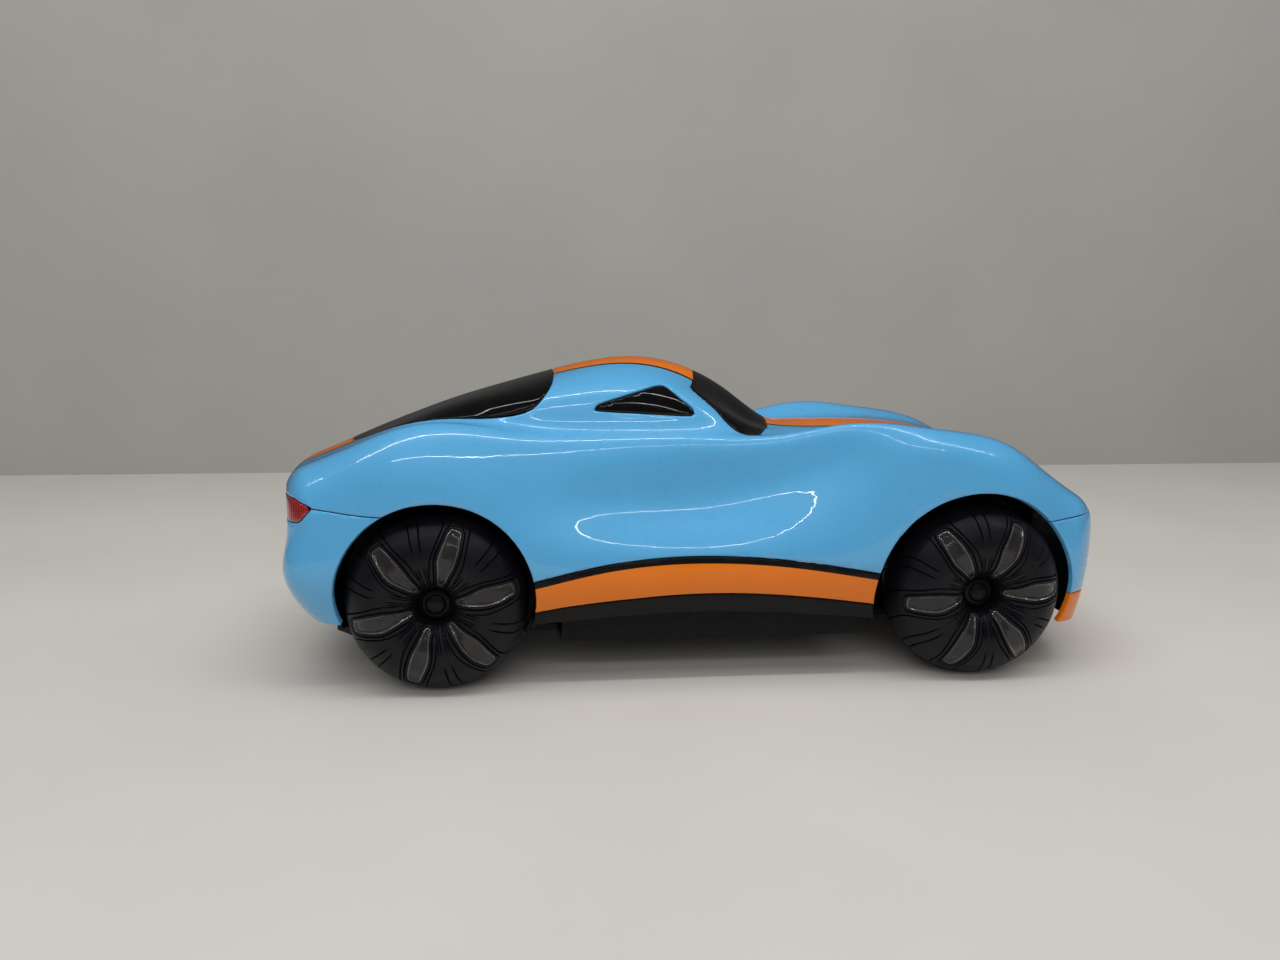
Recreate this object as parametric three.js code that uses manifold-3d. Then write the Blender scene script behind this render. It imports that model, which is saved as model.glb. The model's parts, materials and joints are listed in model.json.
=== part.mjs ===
// A four-wheeled toy robot car: a glossy coupe shell on a black chassis, with domed light-up wheels,
// rear drive through a two-stage spur gearbox, and servo steering through a parallel linkage.
// Frame, in millimetres: +X to the nose, +Y to the car's left, +Z up, origin on the floor under the middle.
import * as THREE from 'three';
import { mergeVertices } from 'three/addons/utils/BufferGeometryUtils.js';
import Module from 'manifold-3d';

const wasm = await Module();
wasm.setup();

// ---- Driving dimensions ----
const HALF_LENGTH = 190; // nose and tail on the centreline
const SKIN = 2.4; // wall of the moulded shell
const GAP = 0.3; // between neighbouring pieces
const EDGE_ROUND = 8; // rounding where the flanks turn into the nose and the tail
const CAP_REACH = 62; // size that the rounding is measured against
const WHEEL_RADIUS = 39;
const REAR_X = -119; // rear axle
const FRONT_X = 119; // front axle
const AXLE_Z = WHEEL_RADIUS;
const WHEEL_FACE_Y = 76; // outermost face of the domed wheel
const WHEEL_WIDTH = 30;
const WINDOWS = 6; // light windows in each wheel
const ARCHES = { // wheel arches in side view, a little off the axles
  rear: { x: -118.9, z: 41, radius: 42.3, linerFrom: 39.5, wallFoot: 19 },
  front: { x: 117, z: 38.6, radius: 46.3, linerFrom: 26.5, wallFoot: 58 },
};
const SPINDLE_END = WHEEL_FACE_Y - 14.4; // ends of the axle and of the front spindles, inside the hubs
const KINGPIN_Y = 52;
const STEER_ARM = 16; // kingpin to tie rod pin, and horn axis to its pin
const FLOOR_Z = 18; // underside of the chassis
const FLOOR_TOP = FLOOR_Z + 3;
const FACET_TOLERANCE = 0.13; // facets flatter than this are merged
const GEAR_MODULE = 1;
const TEETH = { pinion: 10, wheel: 30, smallWheel: 12, axle: 34 };

// ---- Feature lines of the body: [station, half width, height] along each ----
const LINES = {
  hem: [[-190, 60, 30], [-160, 64, 29], [-119, 65, 27], [-75, 65, 29], [-6, 65, 33], [70, 65, 28.5],
    [119, 64, 25], [160, 63, 23], [190, 58, 22]],
  sill: [[-190, 66, 50], [-160, 70, 47], [-119, 71, 47], [-75, 70.5, 43], [-6, 70, 47], [45, 70.5, 48],
    [80, 71.5, 53], [119, 72.5, 62], [155, 69.5, 48], [190, 64, 40]],
  character: [[-190, 65, 66], [-160, 70.5, 65], [-119, 73, 66], [-80, 71, 62], [-43, 68.5, 62.5], [0, 68, 62],
    [25, 67.5, 65], [45, 66.5, 72], [64, 66, 84], [84, 68, 95], [119, 70, 92], [155, 68, 72], [190, 63, 56]],
  scoop: [[-190, 63, 80], [-160, 68, 81], [-119, 71.5, 86], [-80, 66, 80], [-43, 60, 78], [0, 57.5, 78],
    [35, 57.5, 86], [60, 61, 96], [84, 66, 103.5], [119, 67, 101], [155, 65, 84], [190, 60, 67]],
  flank: [[-190, 58, 88], [-160, 63.5, 96], [-119, 66, 104.5], [-80, 61, 97], [-43, 57, 95], [0, 54.5, 95],
    [35, 54.5, 99], [60, 59, 105], [84, 64, 108], [119, 62.5, 105.5], [140, 61.5, 99], [155, 60.5, 91.5],
    [190, 56, 73]],
  crest: [[-190, 47, 92.5], [-160, 54, 104], [-119, 56, 115], [-80, 54, 109.5], [-43, 53, 107],
    [0, 51.5, 107], [35, 51, 109], [58, 55.5, 113.3], [80, 58.5, 113.6], [100, 57.6, 111.2], [119, 56, 108.5],
    [140, 54.3, 102], [155, 53, 94.5], [190, 48, 74.5]],
  valley: [[-190, 34, 92], [-160, 43, 103.5], [-119, 46, 114], [-80, 48.5, 112.5], [-43, 48.5, 111.5],
    [0, 47, 110.5], [25, 44, 107.5], [60, 42, 107.5], [88, 42, 108], [119, 42, 105.5], [140, 41, 99.5],
    [155, 40, 92.5], [190, 34, 74]],
  glass: [[-190, 26, 92], [-160, 33, 103.5], [-119, 38, 117], [-80, 43.5, 122.5], [-43, 43.5, 124.5],
    [-5, 42, 120.5], [14, 37.5, 113.5], [30, 33, 108.5], [60, 31, 107.8], [88, 30, 108], [119, 30, 104.5],
    [140, 29.5, 98.6], [155, 29, 91.8], [190, 25, 74]],
  cantrail: [[-190, 17, 92], [-160, 21, 103.5], [-119, 25, 119.5], [-80, 29.5, 129.5], [-36, 32, 134.5],
    [-8, 29.5, 129], [8, 26, 120.5], [20, 23.5, 113], [34, 22, 109.5], [60, 21, 108.8], [88, 20, 108.6],
    [119, 19, 104.8], [140, 18.5, 98.6], [155, 18, 91.6], [190, 16, 74]],
  spine: [[-190, 0, 92], [-176, 0, 97.5], [-160, 0, 104.5], [-138, 0, 113.5], [-101, 0, 126], [-69, 0, 135],
    [-36, 0, 141], [-19, 0, 140], [0, 0, 134], [14, 0, 126], [26, 0, 117], [36, 0, 111], [50, 0, 109.8],
    [88, 0, 109.2], [119, 0, 105.2], [140, 0, 98.8], [155, 0, 91.6], [190, 0, 74]],
};

// Edges of the panels in side view: [x, z]. They run on through the wheel arches.
const REAR_SEAM = [[-215, 80.5], [-168, 80.8], [-150, 78.6], [REAR_X, 78.8]];
const FRONT_SEAM = [[FRONT_X, 70], [151, 71], [168, 72.4], [215, 74]];
const SILL_TOP = [[-100, 44], [-79, 49], [-50, 55.5], [-7, 59], [37, 56], [73, 50], [95, 46]];
const SILL_FOOT = [[-100, 29], [-76, 35], [-40, 40], [-6, 42], [35, 40], [72, 35], [95, 31]];
const LIP_TOP = [[140, 33], [160, 36.5], [215, 38]];
const TAIL_LAMP = [[-215, 75], [-174.5, 74.6], [-168.6, 81], [-177, 84.2], [-215, 85.6]];
const HEAD_LAMP = [[177, 70.5], [179, 64], [215, 62], [215, 70.5]];
const SIDE_WINDOW = [[-50.5, 119.2], [-50.5, 121.2], [-23.5, 129.4], [-19, 129.6], [-6.5, 119],
  [-6.5, 116.6]];
// and in plan: [x, y] of the left half
const WINDSHIELD = [[-1, 0], [-2, 14], [-4.5, 25], [-6.5, 31], [6, 40], [18, 46.5], [21, 46], [26, 37],
  [31.5, 22], [34.5, 0]];
const REAR_GLASS = [[-69, 0], [-69, 33], [-71.5, 41], [-77, 45.5], [-104, 44.5], [-128, 39], [-146, 30],
  [-158, 19], [-163, 8], [-164, 0]];
const TAIL_LAMP_INNER_Y = 24;
const HEAD_LAMP_INNER_Y = 26;
const GRILLE = { halfWidth: 42, z: [40, 56] };
const DIFFUSER = { halfWidth: 38, top: 44 };

// ---- Small maths ----
const clamp = (v, low, high) => Math.min(high, Math.max(low, v));
const ease = (t) => clamp(t, 0, 1) ** 2 * (3 - 2 * clamp(t, 0, 1));

// A natural cubic spline through (xs, ys).
function spline(xs, ys) {
  const n = xs.length;
  const h = xs.slice(1).map((x, i) => x - xs[i]);
  const curvature = new Array(n).fill(0);
  const factor = new Array(n).fill(0);
  const held = new Array(n).fill(0);
  for (let i = 1; i < n - 1; i++) {
    const slopeStep = (ys[i + 1] - ys[i]) / h[i] - (ys[i] - ys[i - 1]) / h[i - 1];
    const pivot = 2 * (h[i - 1] + h[i]) - h[i - 1] * factor[i - 1];
    factor[i] = h[i] / pivot;
    held[i] = (6 * slopeStep - h[i - 1] * held[i - 1]) / pivot;
  }
  for (let i = n - 2; i > 0; i--) curvature[i] = held[i] - factor[i] * curvature[i + 1];
  return (x) => {
    let i = 0;
    while (i < n - 2 && x > xs[i + 1]) i++;
    const a = (xs[i + 1] - x) / h[i];
    const b = (x - xs[i]) / h[i];
    const bend = ((a ** 3 - a) * curvature[i] + (b ** 3 - b) * curvature[i + 1]) * h[i] ** 2 / 6;
    return a * ys[i] + b * ys[i + 1] + bend;
  };
}

const column = (rows, k) => rows.map((row) => row[k]);
const lineFunctions = Object.values(LINES).map((rows) => ({
  y: spline(column(rows, 0), column(rows, 1)),
  z: spline(column(rows, 0), column(rows, 2)),
}));

// ---- The body surface ----
const FINE_SPANS = [0, 4, 5, 8]; // gaps between feature lines where the section bends most

// Half of the section at a station, from the hem over the shoulder to the spine, moved in by inset.
// fine adds a point in the middle of each fine span.
function halfSection(station, scale, inset, fine) {
  const s = clamp(station, -HALF_LENGTH, HALF_LENGTH);
  const knots = lineFunctions.map((line) => [line.y(s), line.z(s)]);
  const mirrored = [2, 3].map((k) => [-knots.at(-k)[0], knots.at(-k)[1]]);
  const run = [...knots, ...mirrored];
  const along = [0];
  for (let i = 1; i < run.length; i++) {
    along.push(along[i - 1] + Math.hypot(run[i][0] - run[i - 1][0], run[i][1] - run[i - 1][1]) ** 0.75);
  }
  const yOf = spline(along, column(run, 0));
  const zOf = spline(along, column(run, 1));
  const bottom = knots[0][1];
  const points = [];
  for (let i = 0; i < knots.length; i++) {
    const steps = fine && FINE_SPANS.includes(i) ? [0, 0.5] : [0];
    for (const step of steps) {
      const t = along[i] + (along[i + 1] - along[i]) * step;
      const slope = 0.01;
      const dy = (yOf(t + slope) - yOf(t - slope)) / 2;
      const dz = (zOf(t + slope) - zOf(t - slope)) / 2;
      const norm = Math.hypot(dy, dz);
      const y = yOf(t) - (inset * dz) / norm;
      const z = zOf(t) + (inset * dy) / norm;
      points.push([Math.max(0, y) * scale, bottom + (z - bottom) * scale]);
    }
  }
  points.at(-1)[0] = 0;
  return points;
}

// Stations are bowed in plan, so that nose and tail are rounded. The tail is fullest at the bumper, and
// tucks in below it.
function placeX(station, y, z) {
  const width = (y / 66) ** 2;
  if (station > 0) {
    const chin = 4 * ease((station - 150) / 40) * clamp((70 - z) / 42, 0, 1.2) ** 2;
    return station - 20 * ease((station - 120) / 70) * width - chin;
  }
  const bow = 13 - 4.5 * Math.exp(-(((z - 54) / 11) ** 2));
  const tuck = 11 * ease((-station - 150) / 40) * clamp((49 - z) / 21, 0, 1.1) ** 2.2;
  return station + bow * ease((-station - 120) / 70) * width + tuck;
}

// Stations from tail to nose with the section's scale at each: end caps, roundings, and the run between.
function stations(count, end, roundSteps) {
  const round = Array.from({ length: roundSteps }, (_, i) => ((1 - i / roundSteps) * Math.PI) / 2);
  const capScale = 1 - EDGE_ROUND / CAP_REACH;
  const tail = [[-end, 0], [-end, 0.5 * capScale]];
  for (const a of round) {
    tail.push([-end + EDGE_ROUND * (1 - Math.sin(a)), 1 - (EDGE_ROUND / CAP_REACH) * (1 - Math.cos(a))]);
  }
  const middle = [];
  for (let i = 0; i < count; i++) {
    middle.push([-end + EDGE_ROUND + ((2 * end - 2 * EDGE_ROUND) * i) / (count - 1), 1]);
  }
  const nose = tail.map(([s, k]) => [-s, k]).reverse();
  return [...tail, ...middle, ...nose];
}

// A closed loft of the whole body. drop lowers its flat bottom, so that the inner one opens the shell.
function bodyLoft(count, inset, drop, fine) {
  const positions = [];
  const index = [];
  const rows = stations(count, HALF_LENGTH - inset, fine ? 3 : 2).map(([s, scale]) => {
    const half = halfSection(s, scale, inset, fine);
    half[0] = [half[0][0], half[0][1] - drop];
    const loop = [...half.map(([y, z]) => [-y, z]), ...half.slice(0, -1).reverse()];
    return loop.map(([y, z]) => {
      positions.push(placeX(s, y, z), y, z);
      return positions.length / 3 - 1;
    });
  });
  for (let i = 0; i < rows.length - 1; i++) {
    for (let j = 0; j < rows[i].length; j++) {
      const k = (j + 1) % rows[i].length;
      const [a, b, c, d] = [rows[i][j], rows[i + 1][j], rows[i + 1][k], rows[i][k]];
      index.push(a, d, b, b, d, c);
    }
  }
  const geometry = new THREE.BufferGeometry();
  geometry.setAttribute('position', new THREE.Float32BufferAttribute(positions, 3));
  geometry.setIndex(index);
  return geometry;
}

// ---- Solids: three.js geometry in, manifold-3d booleans between ----
function solid(geometry) {
  const bare = geometry.clone();
  bare.deleteAttribute('normal');
  bare.deleteAttribute('uv');
  const merged = mergeVertices(bare, 1e-4);
  const raw = merged.index.array;
  const triangles = [];
  for (let i = 0; i < raw.length; i += 3) {
    const [a, b, c] = [raw[i], raw[i + 1], raw[i + 2]];
    if (a !== b && b !== c && a !== c) triangles.push(a, b, c);
  }
  const vertProperties = new Float32Array(merged.attributes.position.array);
  if (signedVolume(vertProperties, triangles) < 0) triangles.reverse();
  const mesh = new wasm.Mesh({ numProp: 3, vertProperties, triVerts: new Uint32Array(triangles) });
  return new wasm.Manifold(mesh);
}

// Negative when the triangles face inwards.
function signedVolume(positions, triangles) {
  const corner = (k) => new THREE.Vector3().fromArray(positions, 3 * triangles[k]);
  let volume = 0;
  for (let i = 0; i < triangles.length; i += 3) {
    volume += corner(i).dot(corner(i + 1).cross(corner(i + 2))) / 6;
  }
  return volume;
}

function geometryOf(manifold) {
  const mesh = manifold.getMesh();
  const geometry = new THREE.BufferGeometry();
  geometry.setAttribute('position', new THREE.Float32BufferAttribute(mesh.vertProperties, 3));
  geometry.setIndex(new THREE.BufferAttribute(mesh.triVerts, 1));
  return geometry;
}

const join = (parts) => parts.reduce((a, b) => a.add(b));
const cut = (body, parts) => parts.reduce((a, b) => a.subtract(b), body);

function outline(points) {
  return new THREE.Shape(points.map(([a, b]) => new THREE.Vector2(a, b)));
}

// A prism of an [x, z] outline from y0 to y1.
function prismAcross(points, y0, y1) {
  const geometry = new THREE.ExtrudeGeometry(outline(points), { depth: y1 - y0, bevelEnabled: false });
  return solid(geometry.rotateX(Math.PI / 2).translate(0, y1, 0));
}

// A prism of an [x, y] outline from z0 to z1.
function prismUp(points, z0, z1) {
  const geometry = new THREE.ExtrudeGeometry(outline(points), { depth: z1 - z0, bevelEnabled: false });
  return solid(geometry.translate(0, 0, z0));
}

function block(x0, x1, y0, y1, z0, z1) {
  const geometry = new THREE.BoxGeometry(x1 - x0, y1 - y0, z1 - z0);
  return solid(geometry.translate((x0 + x1) / 2, (y0 + y1) / 2, (z0 + z1) / 2));
}

// A round bar along Y, or along Z, between two coordinates.
function barY(x, z, radius, y0, y1, sides = 16) {
  const geometry = new THREE.CylinderGeometry(radius, radius, y1 - y0, sides);
  return solid(geometry.translate(x, (y0 + y1) / 2, z));
}

function barZ(x, y, radius, z0, z1, sides = 12) {
  const geometry = new THREE.CylinderGeometry(radius, radius, z1 - z0, sides);
  return solid(geometry.rotateX(Math.PI / 2).translate(x, y, (z0 + z1) / 2));
}

// A closed [radius, depth] profile turned about the Y axis.
function turned(profile, segments) {
  const points = [...profile, profile[0]].map(([r, d]) => new THREE.Vector2(r, d));
  return solid(new THREE.LatheGeometry(points, segments));
}

const mirrorY = (manifold) => manifold.mirror([0, 1, 0]);
const curvePoints = (points, from, to, count) => {
  const f = spline(column(points, 0), column(points, 1));
  return Array.from({ length: count + 1 }, (_, i) => from + ((to - from) * i) / count).map((x) => [x, f(x)]);
};
const shifted = (points, dz) => points.map(([x, z]) => [x, z + dz]);

// ---- The scene graph ----
const car = new THREE.Group();
// [colour, roughness, metalness]
const FINISHES = {
  blue: [0x4fa6dc, 0.12, 0],
  orange: [0xe07818, 0.2, 0],
  black: [0x0c0c0e, 0.45, 0],
  gloss: [0x050505, 0.05, 0],
  red: [0xb01010, 0.1, 0],
  lens: [0xdfe6ea, 0.05, 0],
  smoke: [0x2a2a2c, 0.2, 0],
  tyre: [0x0e0e11, 0.6, 0],
  steel: [0xb8bcc0, 0.3, 1],
  brass: [0xc29a3c, 0.3, 1],
  board: [0x14603a, 0.5, 0],
  battery: [0x2456a8, 0.5, 0],
  servo: [0x1c1c1f, 0.4, 0],
  white: [0xe8e8e4, 0.4, 0],
};
const materials = Object.fromEntries(Object.entries(FINISHES).map(([name, [color, roughness, metalness]]) => [
  name, new THREE.MeshStandardMaterial({ color, roughness, metalness }),
]));

function addNode(name, manifold, materialName) {
  const mesh = new THREE.Mesh(geometryOf(manifold.simplify(FACET_TOLERANCE)), materials[materialName]);
  mesh.name = name;
  car.add(mesh);
}

// ---- Panels of the shell ----
const outerBody = solid(bodyLoft(22, 0, 0, true));
const innerBody = solid(bodyLoft(15, SKIN, 12, false));
const skin = outerBody.subtract(innerBody);
const FAR = 230;

const archCutters = Object.values(ARCHES).map(({ x, z, radius }) => barY(x, z, radius, -FAR, FAR, 36));

const upperEdge = [
  ...curvePoints(REAR_SEAM, -215, REAR_X, 8), ...curvePoints(SILL_TOP, -79, 73, 12),
  ...curvePoints(FRONT_SEAM, FRONT_X, 215, 8),
];
const upperRegion = prismAcross([...upperEdge, [215, FAR], [-215, FAR]], -FAR, FAR);

const mirrorOutline = (points) => [...points, ...points.slice(1, -1).reverse().map(([x, y]) => [x, -y])];

// The outline grown by a margin about its centre, for the clearance round an insert.
function grown(points, margin) {
  const centre = [0, 1].map((k) => points.reduce((sum, p) => sum + p[k], 0) / points.length);
  return points.map((p) => {
    const reach = Math.hypot(p[0] - centre[0], p[1] - centre[1]);
    return p.map((v, k) => v + ((v - centre[k]) / reach) * margin);
  });
}

// An [x, z] outline cut right across one side of the body from y0 outwards, and its mirror image.
function sidePair(xzOutline, y0, y1, margin) {
  const left = prismAcross(margin ? grown(xzOutline, margin) : xzOutline, y0 - margin, y1 + margin);
  return [left, mirrorY(left)];
}

const tailLamps = (margin) => sidePair(TAIL_LAMP, TAIL_LAMP_INNER_Y, FAR, margin);
const headLamps = (margin) => sidePair(HEAD_LAMP, HEAD_LAMP_INNER_Y, FAR, margin);
const sideWindows = (margin) => sidePair(SIDE_WINDOW, 30, 70, margin);

// The windows' prisms reach up from below the glass, but stay above the bonnet's and the deck's inside.
function glassPrism(half, margin, low) {
  const plan = mirrorOutline(half);
  return prismUp(margin ? grown(plan, margin) : plan, low, 160);
}

function addPair(name, leftPiece, material) {
  addNode(`${name}_left`, leftPiece, material);
  addNode(`${name}_right`, mirrorY(leftPiece), material);
}

function makeUpperBody() {
  const room = [
    ...archCutters,
    glassPrism(WINDSHIELD, GAP, 100),
    glassPrism(REAR_GLASS, GAP, 96),
    ...sideWindows(GAP),
    ...tailLamps(GAP),
    ...headLamps(GAP),
  ];
  addNode('body_shell', cut(skin.intersect(upperRegion), room), 'blue');
  addNode('windshield', skin.intersect(glassPrism(WINDSHIELD, 0, 100)), 'gloss');
  addNode('rear_glass', skin.intersect(glassPrism(REAR_GLASS, 0, 96)), 'gloss');
  addPair('side_window', skin.intersect(sideWindows(0)[0]), 'gloss');
  addPair('tail_lamp', skin.intersect(tailLamps(0)[0]), 'red');
  addPair('headlamp', skin.intersect(headLamps(0)[0]), 'lens');
}
makeUpperBody();

// What lies under the seam behind the rear arch, with the diffuser set in.
function makeRearBumper() {
  const seam = shifted(curvePoints(REAR_SEAM, -215, REAR_X, 8), -GAP);
  const region = skin.intersect(prismAcross([...seam, [REAR_X, -5], [-215, -5]], -FAR, FAR));
  const { halfWidth, top } = DIFFUSER;
  const diffuser = block(-215, -140, -halfWidth, halfWidth, 10, top);
  const room = block(-215, -140, -halfWidth - GAP, halfWidth + GAP, 10, top + GAP);
  addNode('rear_bumper', cut(region, [archCutters[0], ...tailLamps(GAP), room]), 'blue');
  addNode('rear_diffuser', cut(region.intersect(diffuser), [archCutters[0]]), 'black');
}
makeRearBumper();

// What lies under the seam ahead of the front arch, with the lip and the grille set in.
function makeFrontBumper() {
  const seam = shifted(curvePoints(FRONT_SEAM, FRONT_X, 215, 8), -GAP).reverse();
  const region = prismAcross([...seam, [FRONT_X, -5], [215, -5]], -FAR, FAR);
  const panel = cut(skin.intersect(region), [archCutters[1], ...headLamps(GAP)]);
  const { halfWidth, z: [low, high] } = GRILLE;
  const grille = block(150, 215, -halfWidth, halfWidth, low, high);
  const grilleRoom = block(150, 215, -halfWidth - GAP, halfWidth + GAP, low - GAP, high + GAP);
  const below = (top) => prismAcross([[140, 5], ...top, [215, 5]], -FAR, FAR);
  addNode('front_bumper', cut(panel, [grilleRoom, below(shifted(LIP_TOP, GAP))]), 'blue');
  addNode('front_grille', panel.intersect(grille), 'gloss');
  addNode('front_lip', panel.intersect(below(LIP_TOP)), 'orange');
}
makeFrontBumper();

// An orange panel over a black skirt on each side.
function makeSills() {
  const top = shifted(curvePoints(SILL_TOP, -79, 76, 10), -GAP);
  const foot = curvePoints(SILL_FOOT, -79, 76, 10);
  const panel = prismAcross([...foot, ...[...top].reverse()], 0, FAR);
  const skirt = prismAcross([[-79, 5], [76, 5], ...shifted(foot, -GAP).reverse()], 0, FAR);
  addPair('sill_panel', cut(skin.intersect(panel), archCutters), 'orange');
  addPair('side_skirt', cut(skin.intersect(skirt), archCutters), 'black');
}
makeSills();

// ---- Wheels ----
// Profiles in [radius, depth behind the outer face].
const TYRE_OUTSIDE = [[7.6, 9.6], [11, 3.8], [21.5, 0], [29.5, 2.2], [36, 8.6], [WHEEL_RADIUS, 17],
  [WHEEL_RADIUS, 24], [36.5, WHEEL_WIDTH]];
const TYRE_INSIDE = [[34, WHEEL_WIDTH], [35, 17], [30, 7.4], [21, 3.2], [12.4, 6.8], [7.8, 12.4]];
const RING_OUTSIDE = [[13.5, 7.2], [20.4, 4.2], [29, 8], [33.8, 16]];
const RING_INSIDE = [[32, 16], [27, 10], [20.4, 6.4], [13.5, 9.4]];
const PAD_OUTSIDE = [[11, 4.8], [14, 3.2], [21.5, 0.8], [29, 2.8], [34, 7.6]];
const PAD_INSIDE = [[30, 9.4], [20, 5], [14, 8.6]];
const HUB_OUTSIDE = [[0, 12.6], [7.1, 12.6], [10, 14.4], [20, 7.5], [26.6, 11]];
const HUB_INSIDE = [[20, 10.6], [8.4, 16.4], [8.4, 18.4], [3 + GAP, 18.4], [3 + GAP, 14], [0, 14]];
const CAP_PROFILE = [[0, 10.2], [4.4, 10.6], [6.4, 11.3], [6.4, 12.3], [0, 12.3]];
// [radius, sideways]
const WINDOW_OUTLINE = [[11.5, 1.4], [23, 4.6], [33.4, 3.2], [33.4, -3.2], [23, -4.2], [11.5, -1.2]];
const TYRE_SEGMENTS = 24;
const INNER_SEGMENTS = 16;

// The window prism at one place of the wheel, in wheel coordinates: it points out of the face along +Y.
function windowPrism(turn, depth0, depth1, margin) {
  const points = margin ? grown(WINDOW_OUTLINE, margin) : WINDOW_OUTLINE;
  const depth = depth1 - depth0;
  const geometry = new THREE.ExtrudeGeometry(outline(points), { depth, bevelEnabled: false });
  return solid(geometry.rotateX(-Math.PI / 2).translate(0, depth0, 0).rotateY(turn));
}

// One wheel with its windows turned by a phase in degrees.
function makeWheelParts(phase) {
  const turns = Array.from({ length: WINDOWS }, (_, k) => ((360 * k) / WINDOWS - phase) * (Math.PI / 180));
  const windows = turns.map((turn) => windowPrism(turn, -2, 11, 0));
  const tyre = cut(turned([...TYRE_OUTSIDE, ...TYRE_INSIDE], TYRE_SEGMENTS), windows);
  const padRoom = turned([...PAD_OUTSIDE, ...PAD_INSIDE], INNER_SEGMENTS);
  const pads = turns.map((turn) => windowPrism(turn, -2, 11, -GAP).intersect(padRoom));
  const ring = join([turned([...RING_OUTSIDE, ...RING_INSIDE], INNER_SEGMENTS), ...pads]);
  const hub = turned([...HUB_OUTSIDE, ...HUB_INSIDE], INNER_SEGMENTS);
  return { tyre, light_ring: ring, hub, hub_cap: turned(CAP_PROFILE, INNER_SEGMENTS) };
}

const WHEEL_MATERIAL = { tyre: 'tyre', light_ring: 'smoke', hub: 'black', hub_cap: 'gloss' };
// [axle, side, turn of the windows in degrees]
const WHEELS = {
  front_left: [FRONT_X, 1, 5],
  front_right: [FRONT_X, -1, 5],
  rear_left: [REAR_X, 1, 13],
  rear_right: [REAR_X, -1, 13],
};

function makeWheels() {
  for (const [place, [x, side, phase]] of Object.entries(WHEELS)) {
    for (const [name, piece] of Object.entries(makeWheelParts(phase))) {
      // depth runs inwards from the outer face, on either side of the car
      const turnedIn = side > 0 ? mirrorY(piece) : piece;
      addNode(`${name}_${place}`, turnedIn.translate([x, side * WHEEL_FACE_Y, AXLE_Z]), WHEEL_MATERIAL[name]);
    }
  }
}
makeWheels();

// ---- Spur gears ----
// A gear blank outline with straight-flanked teeth, thinner than half a pitch so that the pair runs free.
function gear(teeth, y0, y1, x, z, phase, bore) {
  const pitchRadius = (teeth * GEAR_MODULE) / 2;
  const tip = pitchRadius + 0.9 * GEAR_MODULE;
  const root = pitchRadius - 1.25 * GEAR_MODULE;
  const step = (2 * Math.PI) / teeth;
  const points = [];
  const flank = [[root, -0.29], [tip, -0.11], [tip, 0.11], [root, 0.29]];
  for (let i = 0; i < teeth; i++) {
    for (const [radius, share] of flank) {
      const angle = phase + (i + share) * step;
      points.push([radius * Math.cos(angle), radius * Math.sin(angle)]);
    }
  }
  const blank = prismAcross(points, y0, y1);
  return (bore ? blank.subtract(barY(0, 0, bore, y0 - 1, y1 + 1, 16)) : blank).translate([x, 0, z]);
}

const axleToIdler = (GEAR_MODULE * (TEETH.axle + TEETH.smallWheel)) / 2 + 0.15;
const idlerToMotor = (GEAR_MODULE * (TEETH.wheel + TEETH.pinion)) / 2 + 0.15;
const IDLER_X = REAR_X + axleToIdler;
const MOTOR_X = IDLER_X + idlerToMotor;
const PLATE_Y = [-1.5, 18]; // inner faces of the gearbox case
const PLATE = 2.5;
const GEARBOX_X = [REAR_X - 22, MOTOR_X + 13];

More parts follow.
